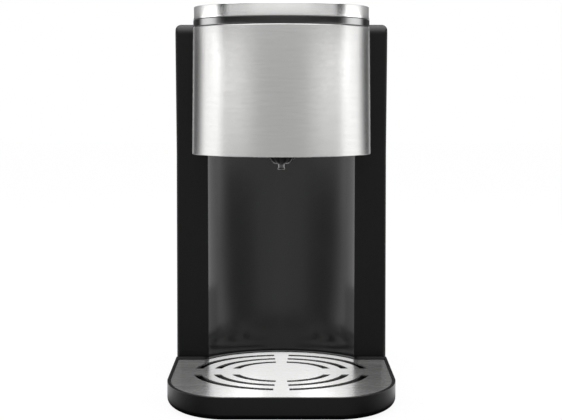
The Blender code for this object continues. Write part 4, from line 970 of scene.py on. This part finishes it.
window_black = new_finish("window_black", (0.006, 0.007, 0.009), 0.03, specular=0.5)
window_cloud = grain(window_black, 40)
tint(window_black, window_cloud, (0.005, 0.006, 0.008), (0.009, 0.010, 0.013))
window_flange = 0.0020
window_step = panel_low.z - gap
window = tile("window", window_width, window_depth, window_low.z, window_high.z, window_y, window_round)
cut(window, tile(
    "window_flange", window_width + 2 * window_flange, window_depth + 2 * window_flange, window_low.z,
    window_step, window_y, window_round + window_flange
), "UNION")
finish(smooth(eased(window, window_ease)), window_black, "window_black", "base", "display_window")

key_black = new_finish("key_black", grey(0.012), 0.3, specular=0.4)
key_grain = grain(key_black, 1800)
tint(key_black, key_grain, grey(0.010), grey(0.016))
relief(key_black, key_grain, 0.00001, 0.6)
key_flange = 0.0016
key_flange_depth = 0.0018
key_dish = 0.0005
dish_shares = (0.3, 0.5, 0.65, 0.78, 0.88)
for node, body in zip(key_nodes, key_bodies):
    key_low, key_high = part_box(node)
    key_place = (key_low + key_high) / 2
    top = key_high.z
    key_rings = [(tiny, top - key_dish)]
    key_rings += [(key_radius * share, top - key_dish * (1 - share ** 4)) for share in dish_shares]
    key_rings += quarter_round(key_radius - key_dish, top - key_dish, key_dish, 90, 0)
    key_rings += [
        (key_radius, key_low.z + key_flange_depth),
        (key_radius + key_flange, key_low.z + key_flange_depth), (key_radius + key_flange, key_low.z),
        (tiny, key_low.z)
    ]
    key = turned(
        node.replace("_key", "_button"), key_place.x, key_place.y, key_rings, hole_sides, closed=False
    )
    finish(smooth(key, hem_angle), key_black, "key_black", body, node)

# The nozzle: a dark fluted moulding pressed into the head floor, with a flange at its top.
# A short steel tube runs down through it to where the water leaves.
nozzle_black = new_finish("inner_black", grey(0.012), 0.5, specular=0.08)
nozzle_grain = grain(nozzle_black, 1500, detail=3.0)
tint(nozzle_black, nozzle_grain, grey(0.009), grey(0.018))
relief(nozzle_black, nozzle_grain, 0.000015, 0.6)
nozzle_low, nozzle_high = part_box("nozzle")
tube_low, tube_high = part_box("outlet_tube")
head_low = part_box("head_floor")[0]
tube_radius = 0.00235
tube_bore = 0.0016
nozzle_flange = nozzle_high.x
nozzle_flange_depth = 0.0015
nozzle_neck = 0.0120
nozzle_mouth = 0.0109
nozzle_drop = sleeve_bottom - nozzle_low.z
nozzle_rings = [
    (tube_radius + gap, nozzle_high.z), (nozzle_flange, nozzle_high.z),
    (nozzle_flange, nozzle_high.z - nozzle_flange_depth),
    (nozzle_neck, nozzle_high.z - nozzle_flange_depth), (nozzle_neck, head_low.z)
]
dome_steps = 10
dome_end = 86
dome_fullness = 0.8
nozzle_sides = 144
for step in range(dome_steps + 1):
    turn = math.radians(dome_end * step / dome_steps)
    nozzle_rings.append(
        (nozzle_mouth * math.cos(turn) ** dome_fullness, sleeve_bottom - nozzle_drop * math.sin(turn))
    )
nozzle_rings = [ring for ring in nozzle_rings if ring[0] > tube_radius + gap - tiny]
nozzle_rings.append((tube_radius + gap, nozzle_low.z))
nozzle = turned("nozzle_dome", 0.0, drum_y, nozzle_rings, nozzle_sides)
flute_count = 12
flute_radius = 0.0014
flute_sides = 24
flute_angle = 30
flute_length = 0.02
flute_lean = math.radians(26)
flute_inset = 0.0016
flute_reach = nozzle_mouth - flute_inset
for index in range(flute_count):
    turn = 2 * math.pi * (index + 0.5) / flute_count
    bpy.ops.object.select_all(action="DESELECT")
    bpy.ops.mesh.primitive_cylinder_add(vertices=flute_sides, radius=flute_radius, depth=flute_length)
    flute = bpy.context.object
    flute.rotation_euler = (0.0, flute_lean, turn)
    flute.location = (
        flute_reach * math.cos(turn), drum_y + flute_reach * math.sin(turn),
        sleeve_bottom - nozzle_drop / 2
    )
    cut(nozzle, home(flute))
finish(smooth(nozzle, flute_angle), nozzle_black, "inner_black", "base", "nozzle")

# The outlet tube's steel is a dark copy of the plain steel: painted shade for the shade it stands in under
# the drum.
shaded_tube_steel = new_finish("shaded_tube_steel", grey(0.08), 0.3, metallic=1.0)
tube_grain = grain(shaded_tube_steel, (300, 300, 2200))
tint(shaded_tube_steel, tube_grain, grey(0.06), grey(0.11))
relief(shaded_tube_steel, tube_grain, 0.00001, 0.5)
flare = 0.0005
bush_sides = 64
tube_rings = [(tube_bore, tube_high.z), (tube_radius, tube_high.z), (tube_radius, tube_low.z + 3 * flare)]
tube_rings += quarter_round(tube_radius, tube_low.z + flare, flare, 60, -90)
tube_rings.append((tube_bore, tube_low.z))
tube = turned("outlet", 0.0, drum_y, tube_rings, bush_sides)
finish(smooth(tube, hem_angle), shaded_tube_steel, "plain_steel", "base", "outlet_tube")

# The floor of the head: a flat black moulding that closes the drum from below and reaches back into the
# column. It carries the nozzle in a round hole.
tiny_facet = 0.02
head_floor_ease = 0.0004


def dressed(node, name, ease=0.0002, angle=40):
    """A merged copy of a CAD solid, with flat faces made whole, edges broken and rounds smoothed."""
    piece = bpy.data.objects.new(name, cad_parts[node].data.copy())
    bpy.context.scene.collection.objects.link(piece)
    open_whole(piece)
    bpy.ops.mesh.remove_doubles(threshold=tiny)
    bpy.ops.mesh.dissolve_limited(angle_limit=tiny_facet)
    bpy.ops.object.mode_set(mode="OBJECT")
    if ease:
        eased(piece, ease, 2, math.radians(angle))
    return smooth(piece, angle)


head_floor = dressed("head_floor", "drum_floor", head_floor_ease)
finish(head_floor, nozzle_black, "inner_black", "base", "head_floor")

# The tank seat: a low satin black moulding behind the column, with a rim that centres the water tank.
# The dock sits in its middle, the cord gland in its back wall, and hoses pass through its front wall.
tank_low, tank_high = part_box("water_tank")
seat_low, seat_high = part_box("tank_seat")
seal_low, seal_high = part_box("dock_seal")
gland_low, gland_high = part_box("cord_gland")
dock_y = (seal_low.y + seal_high.y) / 2
tank_half = tank_high.x
rear_front_corner = 0.0050
rear_back_corner = 0.0140
seat_wall = 0.0024
seat_rim = 0.0022
seat_recess = 0.0025
dock_hole = 0.0148
gland_radius = 0.0062
hose_hole = 0.0075
hose_place = (0.0620, 0.0290)
seat_ease = 0.0005
rear_steps = 10


def rear_block(name, inset, front, back, low, high):
    """The tank's outline, drawn in by an inset: tight corners in front and wide ones behind."""
    piece = block(name, (inset - tank_half, front + inset, low), (tank_half - inset, back - inset, high))
    for y, corner in ((front + inset, rear_front_corner - inset), (back - inset, rear_back_corner - inset)):
        round_edges(
            piece, lambda a, b: abs(a.z - b.z) > tiny and abs(a.y - y) < tiny and abs(b.y - y) < tiny,
            corner, rear_steps
        )
    return piece


seat = rear_block("seat", 0.0, seat_low.y, seat_high.y, seat_low.z, seat_high.z)
seat_floor = seat_high.z - seat_recess
cut(seat, rear_block("recess", seat_rim, seat_low.y, seat_high.y, seat_floor, seat_high.z + overrun))
cut(seat, rear_block(
    "seat_room", seat_wall, seat_low.y, seat_high.y, seat_low.z - overrun, seat_floor - seat_wall
))
cut(seat, drum(
    "dock_tool", 0.0, dock_y, seat_floor - 2 * seat_wall, seat_high.z + overrun, dock_hole, hole_sides
))
gland_x = (gland_low.x + gland_high.x) / 2
gland_z = (gland_low.z + gland_high.z) / 2
cut(seat, level_rod(
    "gland_tool", gland_x, gland_z, seat_high.y - 2 * seat_wall, seat_high.y + overrun, gland_radius + gap,
    "Y"
))
cut(seat, level_rod(
    "hose_tool", hose_place[0], hose_place[1], seat_low.y - overrun, seat_low.y + 2 * seat_wall, hose_hole,
    "Y"
))
finish(smooth(eased(seat, seat_ease, 3)), satin_black, "satin_black", "base", "tank_seat")

# The cord gland: a soft black rubber bush pressed into the seat's back wall, with its bore empty.
# Its flange has a fine groove round the bore, and its neck is held behind the wall.
rubber = new_finish("soft_rubber", grey(0.010), 0.7, specular=0.3)
rubber_grain = grain(rubber, 1200, detail=3.0)
rubber_dust = grain(rubber, 140, detail=3.0)
tint(rubber, rubber_dust, grey(0.007), grey(0.016))
sheen(rubber, rubber_dust, 0.6, 0.8)
relief(rubber, rubber_grain, 0.00003, 0.8)

gland_bore = 0.0034
gland_flange = (gland_high.x - gland_low.x) / 2
gland_thickness = 0.0014
gland_groove = 0.0004
gland_ease = 0.00015
gland_neck = gland_high.y - gland_low.y - gland_thickness
groove_inner = gland_bore + 2 * gland_groove
groove_outer = groove_inner + 3 * gland_groove
gland = turned("gland", 0.0, 0.0, [
    (gland_bore, gland_thickness), (groove_inner, gland_thickness),
    (groove_inner, gland_thickness - gland_groove), (groove_outer, gland_thickness - gland_groove),
    (groove_outer, gland_thickness), (gland_flange - gland_thickness / 2, gland_thickness),
    (gland_flange, gland_thickness / 2), (gland_flange, 0.0), (gland_radius, 0.0),
    (gland_radius, -gland_neck), (gland_bore, -gland_neck)
], bush_sides)
gland.rotation_euler = (-math.pi / 2, 0.0, 0.0)
gland.location = (gland_x, gland_high.y - gland_thickness, gland_z)
home(gland)
finish(smooth(eased(gland, gland_ease)), rubber, "rubber", "base", "cord_gland")

# The dock in the seat: a black cup with a pin that opens the tank's valve, and a milky silicone lip seal
# inside its rim.
silicone = new_finish("milky_silicone", (0.60, 0.62, 0.62), 0.45, specular=0.4)
silicone_cloud = grain(silicone, 260, detail=3.0)
tint(silicone, silicone_cloud, (0.54, 0.56, 0.56), (0.66, 0.68, 0.68))
inputs_of(silicone)["Subsurface Weight"].default_value = 0.3
inputs_of(silicone)["Subsurface Radius"].default_value = (0.002, 0.002, 0.002)
relief(silicone, silicone_cloud, 0.00002, 0.5)

dock_ease = 0.0003
seal_ease = 0.0004
finish(dressed("tank_dock", "dock_cup", dock_ease), nozzle_black, "inner_black", "base", "tank_dock")
finish(dressed("dock_seal", "lip_seal", seal_ease), silicone, "silicone", "base", "dock_seal")

# The water tank: a clear, smoke-tinted moulding with a 2.4 mm wall, a plinth that drops into the seat's rim
# and two cheeks at the back that hold the lid's pin.
smoke = new_finish("smoke_clear", (0.30, 0.31, 0.32), 0.04, specular=0.5)
inputs_of(smoke)["Transmission Weight"].default_value = 1.0
inputs_of(smoke)["IOR"].default_value = 1.49
smoke_cloud = grain(smoke, 18)
sheen(smoke, smoke_cloud, 0.03, 0.07)
tint(smoke, smoke_cloud, (0.28, 0.29, 0.30), (0.33, 0.34, 0.35))
relief(smoke, smoke_cloud, 0.00015, 0.25)

tank_wall = 0.0024
tank_ease = 0.0004
plinth_inset = 0.0028
lid_thickness = 0.0080
barrel_radius = lid_thickness / 2
pin_radius = 0.0013
cheek_width = 0.0175
cheek_reach = 0.0097
cheek_hole = 0.0080
spigot_hole = 0.0083
lid_half = tank_half - cheek_width
pin_low, pin_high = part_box("lid_hinge_pin")
lid_axis_y = (pin_low.y + pin_high.y) / 2
lid_axis_z = (pin_low.z + pin_high.z) / 2
tank_body_low = seat_high.z + gap
tank_top = tank_high.z - lid_thickness - gap
tank_floor = tank_body_low + tank_wall

tank = rear_block("tank", 0.0, tank_low.y, tank_high.y, tank_body_low, tank_high.z)
plinth = rear_block(
    "plinth", plinth_inset, seat_low.y, seat_high.y, tank_low.z, tank_body_low + tank_wall / 2
)
cut(tank, plinth, "UNION")
cut(tank, block(
    "lid_space", (-2 * tank_half, tank_low.y - overrun, tank_top),
    (2 * tank_half, lid_axis_y - cheek_reach, tank_high.z + overrun)
))
lid_gap_half = lid_half + gap
barrel_gap = barrel_radius + gap
cut(tank, block(
    "lid_neck_space", (-lid_gap_half, lid_axis_y - cheek_reach - overrun, tank_top),
    (lid_gap_half, lid_axis_y, tank_high.z + overrun)
))
cut(tank, level_rod("barrel_space", lid_axis_y, lid_axis_z, -lid_gap_half, lid_gap_half, barrel_gap, "X"))
cut(tank, block(
    "swing_space", (-lid_gap_half, lid_axis_y - barrel_gap, lid_axis_z),
    (lid_gap_half, lid_axis_y + barrel_gap, tank_high.z + overrun)
))
cut(tank, rear_block("tank_room", tank_wall, tank_low.y, tank_high.y, tank_floor, tank_top))
cut(tank, drum(
    "spigot_tool", 0.0, dock_y, tank_low.z - overrun, tank_floor + overrun, spigot_hole, hole_sides
))
pin_hole_end = lid_half + cheek_hole + gap
cut(tank, level_rod(
    "pin_space", lid_axis_y, lid_axis_z, -pin_hole_end, pin_hole_end, pin_radius + gap, "X", small_sides
))
finish(smooth(eased(tank, tank_ease)), smoke, "smoke_clear", "tank", "water_tank")

# The level scale: fine white lines printed inside the tank's back wall, longer at each fourth step.
# A bar at the top marks the most, and one at the bottom the least.
print_white = new_finish("print_white", grey(0.72), 0.5)
print_speck = grain(print_white, 900)
tint(print_white, print_speck, grey(0.66), grey(0.76))

line_depth = 0.00012
line_height = 0.0006
line_short = 0.0060
line_long = 0.0110
line_widest = 0.0260
line_count = 13
scale_foot = 0.030
scale_head = 0.022
scale_low = tank_floor + scale_foot
scale_high = tank_top - scale_head
scale_face = tank_high.y - tank_wall - gap / 2
for index in range(line_count):
    level = scale_low + (scale_high - scale_low) * index / (line_count - 1)
    if index in (0, line_count - 1):
        width = line_widest
    else:
        width = line_long if index % 4 == 0 else line_short
    line = block(
        "level_line_%d" % (index + 1), (-width / 2, scale_face - line_depth, level - line_height / 2),
        (width / 2, scale_face, level + line_height / 2)
    )
    round_edges(line, lambda a, b: abs(a.y - b.y) > tiny, line_height / 3, 3)
    finish(line, print_white, "white_plastic", "tank")

# The tank lid: a satin black moulding that swings on a pin through its barrel, with a skirt that drops into
# the tank's mouth and a low tab at its front edge for the finger.
lid_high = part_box("tank_lid")[1]
plug_gap = 0.0012
plug_wall = 0.0014
plug_depth = 0.0040
tab_half = 0.0110
tab_depth = 0.0050
lid_ease = 0.0005
skirt_steps = 6
lid_bottom = tank_high.z - lid_thickness
lid_shoulder = lid_axis_y - (cheek_reach ** 2 + barrel_radius ** 2) ** 0.5 - gap
skirt_corner = rear_front_corner - tank_wall


def under_lid(name, inset, low, high):
    """A block inside the lid, drawn in from its edge."""
    piece = block(
        name, (inset - tank_half, tank_low.y + inset, low), (tank_half - inset, lid_shoulder - inset, high)
    )
    round_edges(piece, lambda a, b: abs(a.z - b.z) > tiny, skirt_corner, skirt_steps)
    return piece


lid = block("lid", (-tank_half, tank_low.y, lid_bottom), (tank_half, lid_shoulder, tank_high.z))
round_edges(
    lid, lambda a, b: abs(a.z - b.z) > tiny and max(a.y, b.y) < tank_low.y + tiny, rear_front_corner,
    rear_steps
)
neck = block(
    "lid_neck", (-lid_half, lid_shoulder - tank_wall, lid_bottom), (lid_half, lid_axis_y, tank_high.z)
)
cut(lid, neck, "UNION")
cut(lid, level_rod("barrel", lid_axis_y, lid_axis_z, -lid_half, lid_half, barrel_radius, "X"), "UNION")
cut(lid, under_lid("lid_room", tank_wall, lid_bottom - overrun, tank_high.z - tank_wall))
skirt = under_lid("skirt", tank_wall + plug_gap, lid_bottom - plug_depth, tank_high.z - tank_wall / 2)
skirt_space = under_lid(
    "skirt_space", tank_wall + plug_gap + plug_wall, lid_bottom - plug_depth - overrun, tank_high.z + overrun
)
cut(skirt, skirt_space)
cut(lid, skirt, "UNION")
tab = block(
    "tab", (-tab_half, tank_low.y, tank_high.z - tank_wall / 2),
    (tab_half, tank_low.y + tab_depth, lid_high.z)
)
cut(lid, tab, "UNION")
bore = level_rod("bore", lid_axis_y, lid_axis_z, -tank_half, tank_half, pin_radius + gap, "X", small_sides)
cut(lid, bore)
finish(smooth(eased(lid, lid_ease, 3)), satin_black, "satin_black", "lid", "tank_lid")

pin_steel = new_finish("pin_steel", grey(0.5), 0.26, metallic=1.0)
pin_grain = grain(pin_steel, (260, 1900, 1900))
tint(pin_steel, pin_grain, grey(0.42), grey(0.56))
sheen(pin_steel, pin_grain, 0.2, 0.34)

pin_ease = 0.0003
pin = level_rod("lid_pin", lid_axis_y, lid_axis_z, pin_low.x, pin_high.x, pin_radius, "X", small_sides)
finish(smooth(eased(pin, pin_ease)), pin_steel, "plain_steel", "tank", "lid_hinge_pin")

# The tank's valve: a natural white body through the tank's floor, a milky plunger in it and a strainer cup
# over both. It opens when the dock's pin lifts the plunger against its spring.
natural = new_finish("natural_white", (0.55, 0.55, 0.52), 0.45, specular=0.4)
natural_cloud = grain(natural, 120, detail=3.0)
natural_fleck = grain(natural, 1500)
tint(natural, natural_cloud, (0.50, 0.50, 0.47), (0.60, 0.60, 0.57))
relief(natural, natural_fleck, 0.00001, 0.6)

valve_ease = 0.0002
strainer_ease = 0.0003
finish(dressed("valve_body", "valve_case", valve_ease), natural, "white_plastic", "tank", "valve_body")
finish(dressed("valve_plunger", "valve_stem", valve_ease), silicone, "silicone", "plunger", "valve_plunger")
finish(dressed("tank_strainer", "strainer", strainer_ease), silicone, "silicone", "tank", "tank_strainer")

# The valve spring: a fine coil of bare steel between the plunger and the strainer.
coil_angle = 60
coil = dressed("valve_spring", "valve_coil", 0.0, coil_angle)
coil.data.materials.clear()
coil.data.materials.append(pin_steel)
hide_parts("valve_spring")
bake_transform(coil)

# The base plate: one flat black moulding under the tray, the column and the seat, with five cooling slots.
# It is held by four zinc screws, and four rubber feet are pressed into its corners.
base_ease = 0.0003
finish(dressed("base_plate", "base", base_ease), satin_black, "satin_black", "base", "base_plate")

foot_round = 0.0010
foot_dimple = 0.0040
foot_dimple_depth = 0.0006
foot_stem = 0.0030
foot_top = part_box("base_plate")[0].z - gap
corner_places = ("front_left", "front_right", "rear_left", "rear_right")
for place in corner_places:
    node = "foot_" + place
    foot_low, foot_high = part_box(node)
    foot_place = (foot_low + foot_high) / 2
    foot_radius = (foot_high.x - foot_low.x) / 2
    foot_rings = [
        (tiny, foot_high.z), (foot_stem, foot_high.z), (foot_stem, foot_top), (foot_radius, foot_top)
    ]
    foot_rings += quarter_round(foot_radius - foot_round, foot_round, foot_round, 0, -90)
    foot_rings += [
        (foot_dimple + foot_dimple_depth, 0.0), (foot_dimple, foot_dimple_depth), (tiny, foot_dimple_depth)
    ]
    foot = turned("rubber_" + node, foot_place.x, foot_place.y, foot_rings, bush_sides, closed=False)
    finish(smooth(foot), rubber, "rubber", "base", node)

zinc = new_finish("zinc", (0.48, 0.48, 0.46), 0.38, metallic=1.0)
zinc_spangle = grain(zinc, 420, detail=3.0)
tint(zinc, zinc_spangle, (0.40, 0.40, 0.385), (0.54, 0.54, 0.52))
sheen(zinc, zinc_spangle, 0.3, 0.46)

screw_head_height = 0.0012
screw_shank = 0.0016
recess_half = 0.0022
recess_width = 0.0007
recess_depth = 0.0008
for place in corner_places:
    node = "base_screw_" + place
    screw_low, screw_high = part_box(node)
    x, y = (screw_low.x + screw_high.x) / 2, (screw_low.y + screw_high.y) / 2
    head_radius = (screw_high.x - screw_low.x) / 2
    screw = turned(node.replace("base_screw", "screw"), x, y, [
        (tiny, screw_high.z), (screw_shank / 2, screw_high.z), (screw_shank, screw_high.z - screw_shank),
        (screw_shank, screw_low.z + screw_head_height), (head_radius, screw_low.z + screw_head_height),
        (head_radius, screw_low.z + gap), (head_radius - gap, screw_low.z), (tiny, screw_low.z)
    ], small_sides, closed=False)
    recess_top = screw_low.z + recess_depth
    for reach_x, reach_y in ((recess_half, recess_width / 2), (recess_width / 2, recess_half)):
        cut(screw, block(
            "recess_tool", (x - reach_x, y - reach_y, screw_low.z - overrun),
            (x + reach_x, y + reach_y, recess_top)
        ))
    finish(smooth(screw), zinc, "zinc", "base", node)

# The symbols on the three keys: pale inlays in the dish of each key, a hair proud of its surface.
# A bulb with its stem for the temperature, a start ring with its bar, and three rising bars for the volume.
inlay_lift = 0.00012
inlay_depth = 0.0004
stroke = 0.0007
ring_outer = 0.0030


def tile_at(name, x, y, width, depth, low, high):
    """A small flat block about a place."""
    return block(name, (x - width / 2, y - depth / 2, low), (x + width / 2, y + depth / 2, high))


def inlay(name, pieces, body):
    """Joins thin pieces to one symbol on a key."""
    whole = pieces[0]
    for other in pieces[1:]:
        cut(whole, other, "UNION")
    whole.name = name
    smooth(whole)
    return finish(whole, print_white, "white_plastic", body)


for node, body in zip(key_nodes, key_bodies):
    key_low, key_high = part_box(node)
    x, y = (key_low.x + key_high.x) / 2, (key_low.y + key_high.y) / 2
    top = key_high.z - key_dish + inlay_lift
    low = top - inlay_depth
    if node == "temperature_key":
        bulb = drum("bulb", x, y - 2.2 * stroke, low, top, 1.6 * stroke, small_sides)
        stem = tile_at("stem", x, y + 1.4 * stroke, stroke, 6.4 * stroke, low, top)
        marks = [bulb, stem]
    elif node == "start_key":
        whole_ring = turned("start_ring", x, y, [
            (ring_outer, low), (ring_outer, top), (ring_outer - stroke, top), (ring_outer - stroke, low)
        ], hole_sides)
        cut(whole_ring, tile_at(
            "gap_tool", x, y + ring_outer, 3 * stroke, ring_outer, low - overrun, top + overrun
        ))
        marks = [whole_ring, tile_at("bar", x, y + 0.7 * ring_outer, stroke, ring_outer, low, top)]
    else:
        rises = ((-1, 3.0 * stroke), (0, 5.0 * stroke), (1, 7.0 * stroke))
        marks = [
            tile_at("step", x + index * 2.4 * stroke, y + index * stroke / 2, stroke, rise, low, top)
            for index, rise in rises
        ]
    inlay(node.replace("_key", "_symbol"), marks, body)

# The domes under the keys: three milky silicone cups that stand on the control board.
for node in key_nodes:
    dome_node = node.replace("_key", "_dome")
    dome = dressed(dome_node, node.replace("_key", "_cup"))
    finish(dome, silicone, "silicone", "base", dome_node)
    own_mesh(dome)

# The parts inside the column and the drum keep their CAD shapes, each with the finish of the real part:
# mouldings in black and natural white, zinc-plated and bare steel, silicone hoses, and two circuit boards.
board_green = new_finish("board_green", (0.02, 0.13, 0.055), 0.35)
board_tracks = grain(board_green, (260, 45, 260))
board_pads = grain(board_green, 700)
tint(board_green, board_tracks, (0.012, 0.085, 0.035), (0.03, 0.16, 0.07))
relief(board_green, board_pads, 0.00002, 0.5)

relay_blue = new_finish("relay_blue", (0.03, 0.09, 0.28), 0.4)
relay_grain = grain(relay_blue, 1300)
tint(relay_blue, relay_grain, (0.025, 0.08, 0.25), (0.036, 0.10, 0.31))
relief(relay_blue, relay_grain, 0.00001, 0.6)

for material, nodes in (
    (nozzle_black, ("rear_cover", "head_carrier")), (board_green, ("control_board", "power_board")),
    (relay_blue, ("power_relay", "transformer")),
    (zinc, ("pump_motor", "heat_sink", "heater_clip_lower", "heater_clip_upper")),
    (natural, ("pump_head", "heater_cap_lower", "heater_cap_upper", "cutout_thermostat")),
    (pin_steel, ("pump_rotor", "heater_tube", "temperature_sensor")),
    (silicone, ("inlet_hose", "pump_hose", "outlet_hose")), (rubber, ("pump_saddle",))
):
    for node in nodes:
        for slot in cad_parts[node].material_slots:
            slot.material = material
